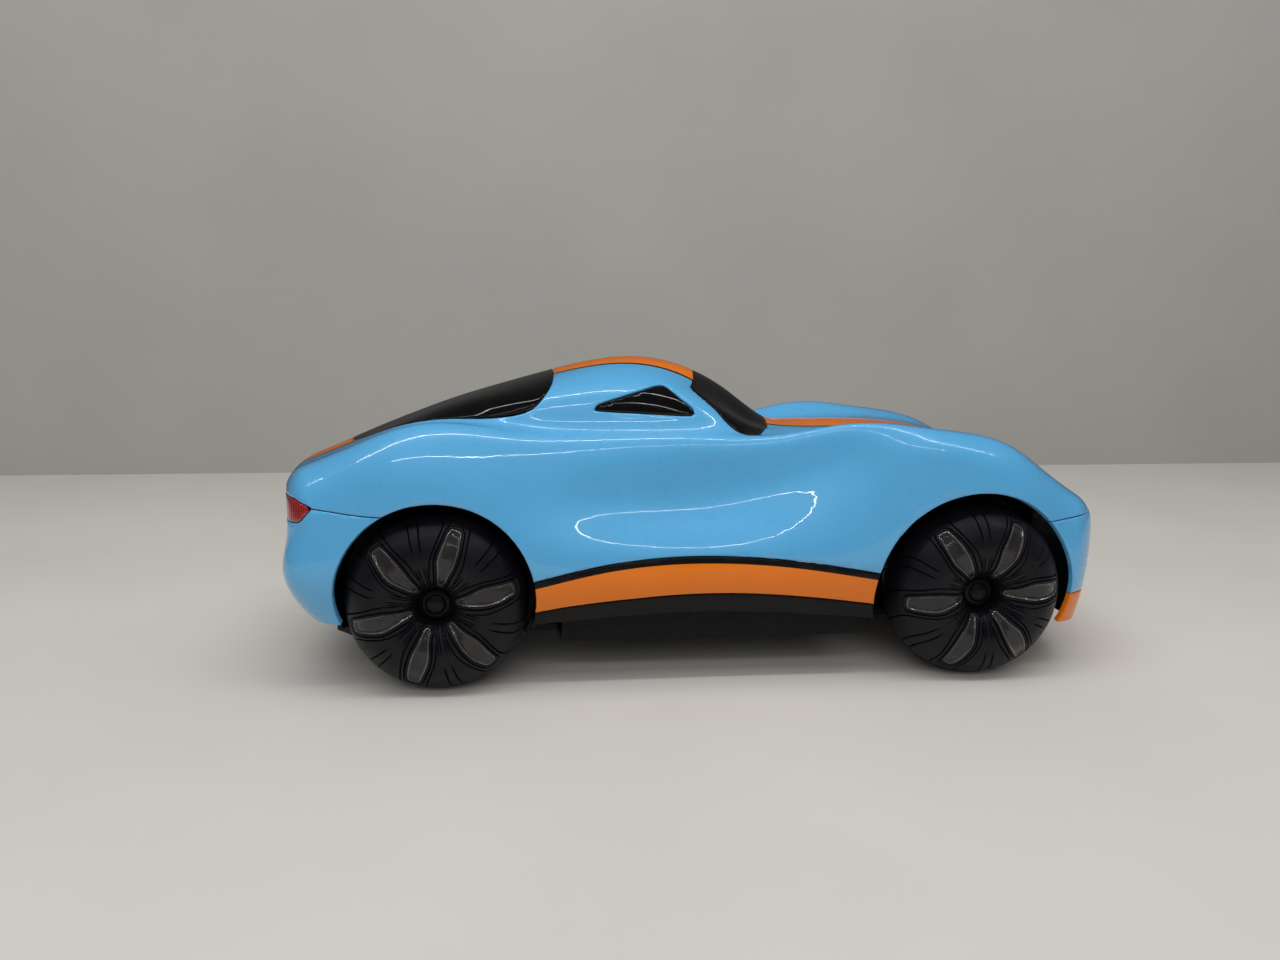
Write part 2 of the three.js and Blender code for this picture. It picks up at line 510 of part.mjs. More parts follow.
function makeDrive() {
  const [right, left] = PLATE_Y;
  const wall = PLATE;
  addNode('rear_axle', barY(REAR_X, AXLE_Z, 3, -SPINDLE_END, SPINDLE_END), 'steel');
  addNode('axle_gear', join([
    gear(TEETH.axle, 9, 14, REAR_X, AXLE_Z, 0, 0),
    barY(REAR_X, AXLE_Z, 7, 2, 17, 18),
  ]).subtract(barY(REAR_X, AXLE_Z, 3 + GAP, -5, 25, 20)), 'white');
  // each gear faces its neighbour with a tooth on one side and a space on the other
  addNode('compound_gear', join([
    gear(TEETH.wheel, 2.5, 7.5, IDLER_X, AXLE_Z, 0, 0),
    gear(TEETH.smallWheel, 7, 16, IDLER_X, AXLE_Z, Math.PI / TEETH.smallWheel, 0),
  ]).subtract(barY(IDLER_X, AXLE_Z, 1.5 + GAP, 0, 20, 16)), 'white');
  addNode('motor_pinion', join([
    gear(TEETH.pinion, 2, 8.5, MOTOR_X, AXLE_Z, Math.PI / TEETH.pinion, 0),
    barY(MOTOR_X, AXLE_Z, 1.2, -6, 10, 12),
  ]), 'brass');
  addNode('idler_pin', barY(IDLER_X, AXLE_Z, 1.5, right - wall - 1, left + wall + 1, 16), 'steel');
  addNode('drive_motor', cut(join([
    barY(MOTOR_X, AXLE_Z, 12, -36, right - wall - GAP, 24),
    barY(MOTOR_X, AXLE_Z, 5, -38.5, -35.5, 16),
    block(MOTOR_X - 9, MOTOR_X + 9, -36, right - wall - GAP, AXLE_Z - 10, AXLE_Z + 10),
  ]), [barY(MOTOR_X, AXLE_Z, 1.2 + GAP, -8, 0, 12)]), 'steel');
  const [back, front] = GEARBOX_X;
  const side = (y0, y1) => block(back, front, y0, y1, FLOOR_Z, AXLE_Z + 20);
  const boss = (y0, y1) => barY(REAR_X, AXLE_Z, 8, y0, y1);
  const ear = (y0, y1) => block(back + 12, front - 12, y0, y1, FLOOR_TOP + GAP, FLOOR_TOP + 2.3);
  addNode('gearbox_case', cut(join([
    side(right - wall, right), side(left, left + wall),
    block(back, front, right - wall, left + wall, FLOOR_Z, FLOOR_Z + 2),
    block(back, back + 2, right - wall, left + wall, FLOOR_Z, AXLE_Z + 20),
    boss(right - wall - 3, right), boss(left, left + wall + 3),
    ear(right - wall - 5, right - wall + 1), ear(left + wall - 1, left + wall + 5),
  ]), [
    barY(REAR_X, AXLE_Z, 5.2, -60, 60), barY(IDLER_X, AXLE_Z, 1.5 + GAP, -60, 60, 16),
    barY(MOTOR_X, AXLE_Z, 3.5, -20, 0, 16),
  ]), 'black');
  for (const [name, y0, y1] of [['right', right - wall - 3, right], ['left', left, left + wall + 3]]) {
    addNode(`axle_bush_${name}`, barY(REAR_X, AXLE_Z, 5.2 - GAP, y0, y1, 20)
      .subtract(barY(REAR_X, AXLE_Z, 3 + GAP, y0 - 1, y1 + 1, 20)), 'brass');
  }
}
makeDrive();

// ---- Steering ----
const LUG = { low: [FLOOR_TOP + GAP, FLOOR_TOP + 3.8], high: [53, 56.5] };
const ROD_Z = [50, 53];
const ROD_PIN = 1.5;
const KINGPIN_RADIUS = 1.8;
const ARM_X = FRONT_X - STEER_ARM;

function makeBeam() {
  const half = 6; // half the beam's width along X
  const across = (y0, y1, z0, z1) => block(FRONT_X - half, FRONT_X + half, y0, y1, z0, z1);
  const lugs = [1, -1].flatMap((side) => {
    const span = (y0, y1) => (side > 0 ? [y0, y1] : [-y1, -y0]);
    return [
      across(...span(30, 57), ...LUG.low),
      across(...span(40, 57), ...LUG.high),
      across(...span(40, 43.5), LUG.low[0], LUG.high[1]),
      barZ(FRONT_X, side * KINGPIN_Y, 5.5, LUG.low[0] - 1.5, LUG.low[1], 20),
    ];
  });
  const bores = [-KINGPIN_Y, KINGPIN_Y].map((y) => barZ(FRONT_X, y, KINGPIN_RADIUS + GAP, 0, 80));
  addNode('front_beam', cut(join([across(-31, 31, ...LUG.low), ...lugs]), bores), 'black');
}

function makeKnuckle(name, side) {
  const y = side * KINGPIN_Y;
  const shoulder = y + side * 4.6;
  const spindle = side > 0 ? [54, SPINDLE_END] : [-SPINDLE_END, -54];
  const head = barZ(FRONT_X, y, 3.2, LUG.high[1] + GAP, LUG.high[1] + 2);
  const shank = barZ(FRONT_X, y, KINGPIN_RADIUS, LUG.low[0] - 1.5, LUG.high[1] + 1);
  addNode(`kingpin_${name}`, shank.add(head), 'steel');
  addNode(`knuckle_${name}`, cut(join([
    barZ(FRONT_X, y, 5.2, LUG.low[1] + GAP, LUG.high[0] - GAP, 20),
    barY(FRONT_X, AXLE_Z, 7, Math.min(y, shoulder), Math.max(y, shoulder), 20),
    barY(FRONT_X, AXLE_Z, 3, ...spindle, 16),
    block(ARM_X, FRONT_X, y - 2.5, y + 2.5, 44.5, 48.5),
    barZ(ARM_X, y, 3.4, 44.5, 48.5),
    barZ(ARM_X, y, ROD_PIN, 44.5, 54.5, 12),
  ]), [barZ(FRONT_X, y, KINGPIN_RADIUS + GAP, 20, 60)]), 'black');
}

function makeLinkage() {
  const pins = [KINGPIN_Y, 0, -KINGPIN_Y];
  const rod = block(ARM_X - 2.2, ARM_X + 2.2, -KINGPIN_Y, KINGPIN_Y, ...ROD_Z);
  const eyes = pins.map((y) => barZ(ARM_X, y, 4, ...ROD_Z));
  const bores = pins.map((y) => barZ(ARM_X, y, ROD_PIN + GAP, 40, 60, 12));
  addNode('tie_rod', cut(join([rod, ...eyes]), bores), 'black');
  addNode('steering_servo', cut(join([
    block(FRONT_X - 7, FRONT_X + 16, -6.5, 6.5, LUG.low[1] + GAP, 45),
    block(FRONT_X - 12, FRONT_X + 21, -6.5, 6.5, 38, 40),
    barZ(FRONT_X, 0, 5, 44, 46),
  ]), [barZ(FRONT_X, 0, 2.5 + GAP, 41, 50)]), 'servo');
  addNode('servo_horn', join([
    barZ(FRONT_X, 0, 2.5, 42, 49),
    barZ(FRONT_X, 0, 4.5, 46.5, 49),
    block(ARM_X, FRONT_X, -2, 2, 46.5, 49),
    barZ(ARM_X, 0, 3.2, 46.5, 49),
    barZ(ARM_X, 0, ROD_PIN, 46.5, 54.5, 12),
  ]), 'white');
}
makeBeam();
makeKnuckle('left', 1);
makeKnuckle('right', -1);
makeLinkage();

// ---- Chassis and electronics ----
const LINER = 1.5;
const AXLE_HOLE = 12; // radius of the hole for the axle in an arch's wall
const linerRoom = solid(bodyLoft(15, SKIN + 3.5 * GAP, 12, false));
const FLOOR_PLAN = [[-168, 33], [-160, 41], [-68, 41], [-66, 56], [66, 56], [70, 30], [150, 30], [166, 27],
  [172, 20]]; // left half: [x, y]
const POSTS = [[-60, 100], [62, 98]]; // [x, top] of the posts that carry the shell
const POST_Y = 42;
const SIDE_WALL = { y: [53.5, 56], top: 33 };
const BATTERY = { x: [-38, 32], y: [-20, 20] };
const TRAY_WALL = 3;
const TRAY_TOP = 40;
const COVER_TOP = FLOOR_Z + 1.6;
const COVER_MARGIN = 4.5; // the battery cover is this much larger than the battery all round
const SCREW_X = [-40.2, 34.2]; // screws of the battery cover
const SOCKET = { x: [-60, -46], y: [30, 41] };
const BUTTON = { x: [48, 58], y: [-5, 5] };

// The black liner of a wheel arch on the left, up to the shell's inner surface, with a wall towards the
// middle of the car. The wall ends at wallFoot, above whatever crosses it there.
function archLiner({ x, z, radius, linerFrom, wallFoot }) {
  const outside = barY(x, z, radius + LINER, linerFrom, FAR, 36);
  const tube = outside.subtract(barY(x, z, radius, 0, FAR + 1, 36));
  const disc = barY(x, z, radius + LINER / 2, linerFrom, linerFrom + LINER, 36);
  const wall = disc.subtract(barY(x, AXLE_Z, AXLE_HOLE, 0, FAR, 20)).intersect(above(wallFoot));
  const liner = tube.add(wall);
  const foot = liner.intersect(block(-FAR, FAR, 0, linerFrom + 6, FLOOR_Z + 1, 28));
  return liner.intersect(linerRoom).intersect(above(27)).add(foot);
}

function above(z) {
  return block(-FAR, FAR, 0, FAR, z, FAR);
}

// A block over the battery, larger than it by a margin all round.
function overBattery(margin, z0, z1) {
  const [[x0, x1], [y0, y1]] = [BATTERY.x, BATTERY.y];
  return block(x0 - margin, x1 + margin, y0 - margin, y1 + margin, z0, z1);
}

// A block in the plan of a socket or button, smaller than it by a margin all round.
function inPlan({ x, y }, margin, z0, z1) {
  return block(x[0] + margin, x[1] - margin, y[0] + margin, y[1] - margin, z0, z1);
}

function makeChassis() {
  const plan = [...FLOOR_PLAN, ...[...FLOOR_PLAN].reverse().map(([x, y]) => [x, -y])];
  const [wallFrom, wallTo] = SIDE_WALL.y;
  const post = (x, y, top) => barZ(x, y, 3, FLOOR_Z + 1, top, 10);
  const posts = POSTS.flatMap(([x, top]) => [post(x, -POST_Y, top), post(x, POST_Y, top)]);
  const liners = Object.values(ARCHES).map(archLiner);
  const made = join([
    prismUp(plan, FLOOR_Z, FLOOR_TOP),
    overBattery(TRAY_WALL, FLOOR_Z, TRAY_TOP),
    block(-66, 66, wallFrom, wallTo, FLOOR_Z, SIDE_WALL.top),
    block(-66, 66, -wallTo, -wallFrom, FLOOR_Z, SIDE_WALL.top),
    ...posts,
    ...liners,
    ...liners.map(mirrorY),
  ]);
  const gearboxX = [GEARBOX_X[0] - GAP, GEARBOX_X[1] + GAP];
  const gearboxY = [PLATE_Y[0] - PLATE - GAP, PLATE_Y[1] + PLATE + GAP];
  addNode('chassis', cut(made, [
    overBattery(GAP, COVER_TOP + 1.5, 60),
    overBattery(-2, 5, 30),
    overBattery(COVER_MARGIN + GAP, 5, COVER_TOP + GAP),
    block(...gearboxX, ...gearboxY, 5, 30),
    inPlan(SOCKET, 0, 5, 30),
    inPlan(BUTTON, 0, 5, 30),
    ...SCREW_X.map((x) => barZ(x, 0, 1.1 + GAP, 5, FLOOR_TOP - 0.6)),
  ]), 'black');
}
makeChassis();

function makeElectronics() {
  const screwHoles = SCREW_X.map((x) => barZ(x, 0, 1.9, 5, 30));
  addNode('battery_cover', cut(overBattery(COVER_MARGIN, FLOOR_Z, COVER_TOP), screwHoles), 'black');
  addNode('battery_pack', overBattery(0, COVER_TOP + 1.5 + GAP, TRAY_TOP + 4), 'battery');
  addNode('control_board', block(-34, 46, -28, 28, 47, 48.6), 'board');
  const socketMouth = block(-57, -49, 34, 37, 5, 25);
  addNode('charge_socket', inPlan(SOCKET, GAP, FLOOR_Z + 0.5, 28).subtract(socketMouth), 'steel');
  const flange = inPlan(BUTTON, -2, FLOOR_TOP + GAP, FLOOR_TOP + 2);
  addNode('power_button', inPlan(BUTTON, GAP, FLOOR_Z - 1, 25).add(flange), 'orange');
  for (const [name, x] of [['rear', SCREW_X[0]], ['front', SCREW_X[1]]]) {
    const shank = barZ(x, 0, 1.1, FLOOR_Z + 0.6, FLOOR_TOP - 1);
    addNode(`cover_screw_${name}`, shank.add(barZ(x, 0, 1.6, FLOOR_Z + 0.1, FLOOR_Z + 1.2)), 'steel');
  }
}
makeElectronics();

export default car;
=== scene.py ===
import json
import math

import bpy
import numpy as np
from mathutils import Matrix, Vector


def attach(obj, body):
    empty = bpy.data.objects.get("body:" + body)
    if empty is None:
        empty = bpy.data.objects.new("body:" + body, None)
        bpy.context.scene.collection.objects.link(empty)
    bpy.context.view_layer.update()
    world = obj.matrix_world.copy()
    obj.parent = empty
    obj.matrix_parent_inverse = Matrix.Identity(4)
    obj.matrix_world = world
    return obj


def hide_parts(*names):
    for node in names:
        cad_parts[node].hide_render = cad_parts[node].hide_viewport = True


# Looks of a four-wheeled toy robot car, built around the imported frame.
# The frame is in metres: +X to the nose, +Y to the car's left, +Z up. Shapes are worked out here in
# millimetres, and make_object() turns them into metres.

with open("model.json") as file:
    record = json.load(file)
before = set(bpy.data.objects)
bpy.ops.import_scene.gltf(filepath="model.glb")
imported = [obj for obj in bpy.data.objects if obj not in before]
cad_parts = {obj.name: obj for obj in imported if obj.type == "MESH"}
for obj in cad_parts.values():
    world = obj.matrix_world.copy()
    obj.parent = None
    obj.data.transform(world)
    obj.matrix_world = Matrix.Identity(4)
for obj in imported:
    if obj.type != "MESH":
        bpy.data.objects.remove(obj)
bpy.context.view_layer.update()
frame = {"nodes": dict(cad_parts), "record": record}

# ---- Driving dimensions, as in the CAD ----
HALF_LENGTH = 190.0  # from the middle to the nose or the tail, on the centreline
EDGE_ROUND = 8.0  # rounding where the flanks turn into the nose and the tail
CAP_REACH = 62.0  # size that the rounding is measured against
FIT = np.array([0.9994, 1.0, 0.998])  # keeps the smooth body inside the faceted CAD box
PANEL = 2.4  # wall of the moulded panels
SEAM = 0.2  # half the gap between panels
EDGE_DROP = 0.6  # share of the full rounding that a panel's edge sinks by
RIM = 0.7  # radius of a panel's rounded edge
AXLE_Z = 39.0
WHEEL_RADIUS = 39.0
REAR_X, FRONT_X = -119.0, 119.0
REAR_ARCH = (-118.9, 41.0, 42.3)  # x, z and radius of the wheel arches
FRONT_ARCH = (117.0, 38.6, 46.3)
WHEEL_FACE_Y = 75.9
SECTOR = math.radians(60)  # six windows round each wheel
FAR = 230.0
STRIPE = 19.0  # half width of the racing stripe
PINSTRIPE = 2.0  # black line along each edge of the stripe
SILL_LINE = 2.8  # black line along the top of the orange sill

# ---- Feature lines of the body: [station, half width, height] along each, from hem to spine ----
LINES = {
    "hem": [[-190, 60, 30], [-160, 64, 29], [-119, 65, 27], [-75, 65, 29], [-6, 65, 33], [70, 65, 28.5],
            [119, 64, 25], [160, 63, 23], [190, 58, 22]],
    "sill": [[-190, 66, 50], [-160, 70, 47], [-119, 71, 47], [-75, 70.5, 43], [-6, 70, 47], [45, 70.5, 48],
             [80, 71.5, 53], [119, 72.5, 62], [155, 69.5, 48], [190, 64, 40]],
    "character": [[-190, 65, 66], [-160, 70.5, 65], [-119, 73, 66], [-80, 71, 62], [-43, 68.5, 62.5],
                  [0, 68, 62], [25, 67.5, 65], [45, 66.5, 72], [64, 66, 84], [84, 68, 95], [119, 70, 92],
                  [155, 68, 72], [190, 63, 56]],
    "scoop": [[-190, 63, 80], [-160, 68, 81], [-119, 71.5, 86], [-80, 66, 80], [-43, 60, 78], [0, 57.5, 78],
              [35, 57.5, 86], [60, 61, 96], [84, 66, 103.5], [119, 67, 101], [155, 65, 84], [190, 60, 67]],
    "flank": [[-190, 58, 88], [-160, 63.5, 96], [-119, 66, 104.5], [-80, 61, 97], [-43, 57, 95],
              [0, 54.5, 95], [35, 54.5, 99], [60, 59, 105], [84, 64, 108], [119, 62.5, 105.5],
              [140, 61.5, 99], [155, 60.5, 91.5], [190, 56, 73]],
    "crest": [[-190, 47, 92.5], [-160, 54, 104], [-119, 56, 115], [-80, 54, 109.5], [-43, 53, 107],
              [0, 51.5, 107], [35, 51, 109], [58, 55.5, 113.3], [80, 58.5, 113.6], [100, 57.6, 111.2],
              [119, 56, 108.5], [140, 54.3, 102], [155, 53, 94.5], [190, 48, 74.5]],
    "valley": [[-190, 34, 92], [-160, 43, 103.5], [-119, 46, 114], [-80, 48.5, 112.5], [-43, 48.5, 111.5],
               [0, 47, 110.5], [25, 44, 107.5], [60, 42, 107.5], [88, 42, 108], [119, 42, 105.5],
               [140, 41, 99.5], [155, 40, 92.5], [190, 34, 74]],
    "glass": [[-190, 26, 92], [-160, 33, 103.5], [-119, 38, 117], [-80, 43.5, 122.5], [-43, 43.5, 124.5],
              [-5, 42, 120.5], [14, 37.5, 113.5], [30, 33, 108.5], [60, 31, 107.8], [88, 30, 108],
              [119, 30, 104.5], [140, 29.5, 98.6], [155, 29, 91.8], [190, 25, 74]],
    "cantrail": [[-190, 17, 92], [-160, 21, 103.5], [-119, 25, 119.5], [-80, 29.5, 129.5], [-36, 32, 134.5],
                 [-8, 29.5, 129], [8, 26, 120.5], [20, 23.5, 113], [34, 22, 109.5], [60, 21, 108.8],
                 [88, 20, 108.6], [119, 19, 104.8], [140, 18.5, 98.6], [155, 18, 91.6], [190, 16, 74]],
    "spine": [[-190, 0, 92], [-176, 0, 97.5], [-160, 0, 104.5], [-138, 0, 113.5], [-101, 0, 126],
              [-69, 0, 135], [-36, 0, 141], [-19, 0, 140], [0, 0, 134], [14, 0, 126], [26, 0, 117],
              [36, 0, 111], [50, 0, 109.8], [88, 0, 109.2], [119, 0, 105.2], [140, 0, 98.8],
              [155, 0, 91.6], [190, 0, 74]],
}
SECTION_STEPS = [7, 7, 7, 7, 7, 6, 6, 6, 8]  # rows between the feature lines

# Panel edges in side view: [x, z]
REAR_SEAM = [[-215, 80.5], [-168, 80.8], [-150, 78.6], [REAR_X, 78.8]]
FRONT_SEAM = [[FRONT_X, 70], [151, 71], [168, 72.4], [215, 74]]
SILL_TOP = [[-100, 44], [-79, 49], [-50, 55.5], [-7, 59], [37, 56], [73, 50], [95, 46]]
SILL_FOOT = [[-100, 29], [-76, 35], [-40, 40], [-6, 42], [35, 40], [72, 35], [95, 31]]
LIP_TOP = [[140, 33], [160, 36.5], [215, 38]]
TAIL_LAMP = [[-215, 75], [-174.5, 74.6], [-168.6, 81], [-177, 84.2], [-215, 85.6]]
HEAD_LAMP = [[177, 70.5], [179, 64], [215, 62], [215, 70.5]]
SIDE_WINDOW = [[-50.5, 119.2], [-50.5, 121.2], [-23.5, 129.4], [-19, 129.6], [-6.5, 119], [-6.5, 116.6]]
# and in plan: [x, y] of the left half
WINDSHIELD = [[-1, 0], [-2, 14], [-4.5, 25], [-6.5, 31], [6, 40], [18, 46.5], [21, 46], [26, 37],
              [31.5, 22], [34.5, 0]]
REAR_GLASS = [[-69, 0], [-69, 33], [-71.5, 41], [-77, 45.5], [-104, 44.5], [-128, 39], [-146, 30],
              [-158, 19], [-163, 8], [-164, 0]]


# ---- Small maths ----
def ease(t):
    t = np.clip(t, 0.0, 1.0)
    return t * t * (3.0 - 2.0 * t)


def spline(xs, ys):
    """A natural cubic spline through (xs, ys), as a function of arrays."""
    xs, ys = np.asarray(xs, float), np.asarray(ys, float)
    n = len(xs)
    h = np.diff(xs)
    system, right = np.eye(n), np.zeros(n)
    for i in range(1, n - 1):
        system[i, i - 1:i + 2] = h[i - 1], 2 * (h[i - 1] + h[i]), h[i]
        right[i] = 6 * ((ys[i + 1] - ys[i]) / h[i] - (ys[i] - ys[i - 1]) / h[i - 1])
    bend = np.linalg.solve(system, right)

    def at(x):
        x = np.asarray(x, float)
        i = np.clip(np.searchsorted(xs, x) - 1, 0, n - 2)
        a = (xs[i + 1] - x) / h[i]
        b = (x - xs[i]) / h[i]
        curve = ((a**3 - a) * bend[i] + (b**3 - b) * bend[i + 1]) * h[i] ** 2 / 6
        return a * ys[i] + b * ys[i + 1] + curve
    return at


def height_of(points):
    points = np.array(points, float)
    return spline(points[:, 0], points[:, 1])


def rounded(outline, rounds=2, share=0.22):
    """A closed outline with its corners cut back again and again, until they are round."""
    points = np.array(outline, float)
    for _ in range(rounds):
        following = np.roll(points, -1, axis=0)
        near = (1 - share) * points + share * following
        far = share * points + (1 - share) * following
        points = np.stack([near, far], 1).reshape(-1, 2)
    return points


def mirrored(half):
    return half + [[x, -y] for x, y in reversed(half[1:-1])]


def inside_outline(outline, a, b):
    """Distance of the points (a, b) from a closed outline, positive inside it."""
    nearest = np.full(a.shape, 1e9)
    crossings = np.zeros(a.shape, int)
    for (ax, ay), (bx, by) in zip(outline, np.roll(outline, -1, axis=0)):
        dx, dy = bx - ax, by - ay
        along = np.clip(((a - ax) * dx + (b - ay) * dy) / max(dx * dx + dy * dy, 1e-12), 0, 1)
        nearest = np.minimum(nearest, np.hypot(a - ax - along * dx, b - ay - along * dy))
        if ay != by:
            spans = (ay > b) != (by > b)
            crossings += spans & (a < ax + (b - ay) * dx / dy)
    return np.where(crossings % 2 == 1, nearest, -nearest)


# ---- Pieces of surface ----
class Patch:
    """Triangles of a surface in mm, with the surface's normal at each point."""

    def __init__(self, points, normals, triangles):
        self.points, self.normals, self.triangles = points, normals, triangles

    def edges(self):
        t = self.triangles
        return np.sort(np.concatenate([t[:, [0, 1]], t[:, [1, 2]], t[:, [2, 0]]]), axis=1)

    def border(self):
        """The directed edges that only one triangle uses."""
        t = self.triangles
        directed = np.concatenate([t[:, [0, 1]], t[:, [1, 2]], t[:, [2, 0]]])
        _, inverse, count = np.unique(np.sort(directed, axis=1), axis=0, return_inverse=True,
                                      return_counts=True)
        return directed[count[inverse.ravel()] == 1]

    def keep(self, mask):
        triangles = self.triangles[mask]
        used, inverse = np.unique(triangles, return_inverse=True)
        return Patch(self.points[used], self.normals[used], inverse.reshape(-1, 3))


def cut(patch, field):
    """Cuts the patch along field(points) = 0. Returns the cut patch and which triangles are inside."""
    points, normals = patch.points.copy(), patch.normals.copy()
    value = field(points)
    value[np.abs(value) < 1e-4] = 0.0
    # a corner very near the cut is moved onto it, so that no sliver is left; corners on a border stay
    edge = np.unique(patch.edges(), axis=0)
    fixed = np.zeros(len(points), bool)
    fixed[patch.border().ravel()] = True
    for near, far in ((0, 1), (1, 0)):
        a, b = edge[:, near], edge[:, far]
        crossed = value[a] * value[b] < 0
        share = np.where(crossed, value[a] / np.where(crossed, value[a] - value[b], 1.0), 1.0)
        move = crossed & (share < 0.2) & ~fixed[a]
        a, b, share = a[move], b[move], share[move, None]
        points[a] += (points[b] - points[a]) * share
        value[a] = 0.0
    sign = np.sign(value).astype(int)
    t = patch.triangles
    s = sign[t]
    crossing = (s.max(1) > 0) & (s.min(1) < 0)
    whole = t[~crossing]
    inside = s[~crossing].sum(1) > 0
    t, s = t[crossing], s[crossing]
    # turn each crossing triangle until its first corner is the one the cut singles out
    total = s.sum(1)
    has_zero = (s == 0).any(1)
    lone = np.where(has_zero[:, None], s == 0, s == -np.sign(total)[:, None])
    first = lone.argmax(1)
    row = np.arange(len(t))
    a, b, c = t[row, first], t[row, (first + 1) % 3], t[row, (first + 2) % 3]
    zero = sign[a] == 0
    ends = np.concatenate([np.stack([a[~zero], b[~zero]], 1), np.stack([a[~zero], c[~zero]], 1),
                           np.stack([b[zero], c[zero]], 1)])
    unique, inverse = np.unique(np.sort(ends, axis=1), axis=0, return_inverse=True)
    inverse = inverse.ravel() + len(points)
    v0, v1 = value[unique[:, 0]], value[unique[:, 1]]
    share = (v0 / (v0 - v1))[:, None]
    new_points = points[unique[:, 0]] * (1 - share) + points[unique[:, 1]] * share
    new_normals = normals[unique[:, 0]] * (1 - share) + normals[unique[:, 1]] * share
    new_normals /= np.linalg.norm(new_normals, axis=1, keepdims=True)
    n = int((~zero).sum())
    p, q, m = inverse[:n], inverse[n:2 * n], inverse[2 * n:]
    a1, b1, c1 = a[~zero], b[~zero], c[~zero]
    a0, b0, c0 = a[zero], b[zero], c[zero]
    pieces = [whole, np.stack([a1, p, q], 1), np.stack([p, b1, c1], 1), np.stack([p, c1, q], 1),
              np.stack([a0, b0, m], 1), np.stack([a0, m, c0], 1)]
    sides = [inside, sign[a1] > 0, sign[a1] < 0, sign[a1] < 0, sign[b0] > 0, sign[c0] > 0]
    made = Patch(np.vstack([points, new_points]), np.vstack([normals, new_normals]), np.vstack(pieces))
    return made, np.concatenate(sides)


def within(patch, *fields):
    """The part of the patch where every field is positive."""
    for field in fields:
        patch, inside = cut(patch, field)
        patch = patch.keep(inside)
    return patch


def solid_panel(patch, depth_in, thickness, rim=RIM):
    """Points and triangles of a closed panel: a front with rounded edges, walls and a back.

    depth_in gives each point's distance from the panel's edge."""
    for level in (0.18 * rim, 0.5 * rim, rim):
        patch, _ = cut(patch, lambda p, level=level: depth_in(p) - level)
    d = np.clip(depth_in(patch.points), 0, rim)
    sunk = rim - np.sqrt(np.maximum(rim**2 - (rim - d) ** 2, 0))
    front = patch.points - patch.normals * (EDGE_DROP * sunk)[:, None]
    back = patch.points - patch.normals * thickness
    n = len(front)
    border = patch.border()
    walls = np.vstack([np.stack([border[:, 1], border[:, 0], border[:, 0] + n], 1),
                       np.stack([border[:, 1], border[:, 0] + n, border[:, 1] + n], 1)])
    triangles = np.vstack([patch.triangles, patch.triangles[:, ::-1] + n, walls])
    return np.vstack([front, back]), triangles


# ---- The body surface ----
def section(station, samples):
    """Half of the section at a station, [y, z] from the hem to the spine, and the height of its hem."""
    knots = np.array([[line_y(station), line_z(station)] for line_y, line_z in LINE_CURVES])
    run = np.vstack([knots, knots[-2] * [-1, 1], knots[-3] * [-1, 1]])
    steps = np.hypot(*np.diff(run, axis=0).T) ** 0.75
    along = np.concatenate([[0], np.cumsum(steps)])
    rows = [along[i] + (along[i + 1] - along[i]) * np.arange(k) / k for i, k in enumerate(samples)]
    at = np.concatenate(rows + [[along[len(samples)]]])
    half = np.stack([spline(along, run[:, 0])(at), spline(along, run[:, 1])(at)], 1)
    half[-1, 0] = 0.0
    return half, knots[0, 1]


LINE_CURVES = [
    (spline(np.array(rows)[:, 0], np.array(rows)[:, 1]), spline(np.array(rows)[:, 0], np.array(rows)[:, 2]))
    for rows in LINES.values()
]


def place_x(station, y, z):
    """Stations are bowed in plan. The nose and the tail tuck in at the bottom, and the bumper is fullest."""
    width = (y / 66.0) ** 2
    if station > 0:
        chin = 4 * ease((station - 150) / 40) * np.clip((70 - z) / 42, 0, 1.2) ** 2
        return station - 20 * ease((station - 120) / 70) * width - chin
    bow = 13 - 4.5 * np.exp(-(((z - 54) / 11) ** 2))
    tuck = 11 * ease((-station - 150) / 40) * np.clip((49 - z) / 21, 0, 1.1) ** 2.2
    return station + bow * ease((-station - 120) / 70) * width + tuck


def station_rows():
    """(station, scale of the section) from tail to nose."""
    turn = np.linspace(1, 0, 9)[:-1] * math.pi / 2
    cap_scale = 1 - EDGE_ROUND / CAP_REACH
    tail = [(-HALF_LENGTH, k) for k in np.linspace(0.0, 1.0, 24)[:-1] * cap_scale]
    tail += [(-HALF_LENGTH + EDGE_ROUND * (1 - math.sin(a)), 1 - EDGE_ROUND / CAP_REACH * (1 - math.cos(a)))
             for a in turn]
    middle = [(s, 1.0) for s in np.linspace(-HALF_LENGTH + EDGE_ROUND, HALF_LENGTH - EDGE_ROUND, 210)]
    return tail + middle + [(-s, k) for s, k in reversed(tail)]


def grid_triangles(index):
    """Two triangles for each cell of a grid of point numbers."""
    a, b = index[:-1, :-1].ravel(), index[1:, :-1].ravel()
    c, d = index[1:, 1:].ravel(), index[:-1, 1:].ravel()
    return np.vstack([np.stack([a, b, c], 1), np.stack([a, c, d], 1)])


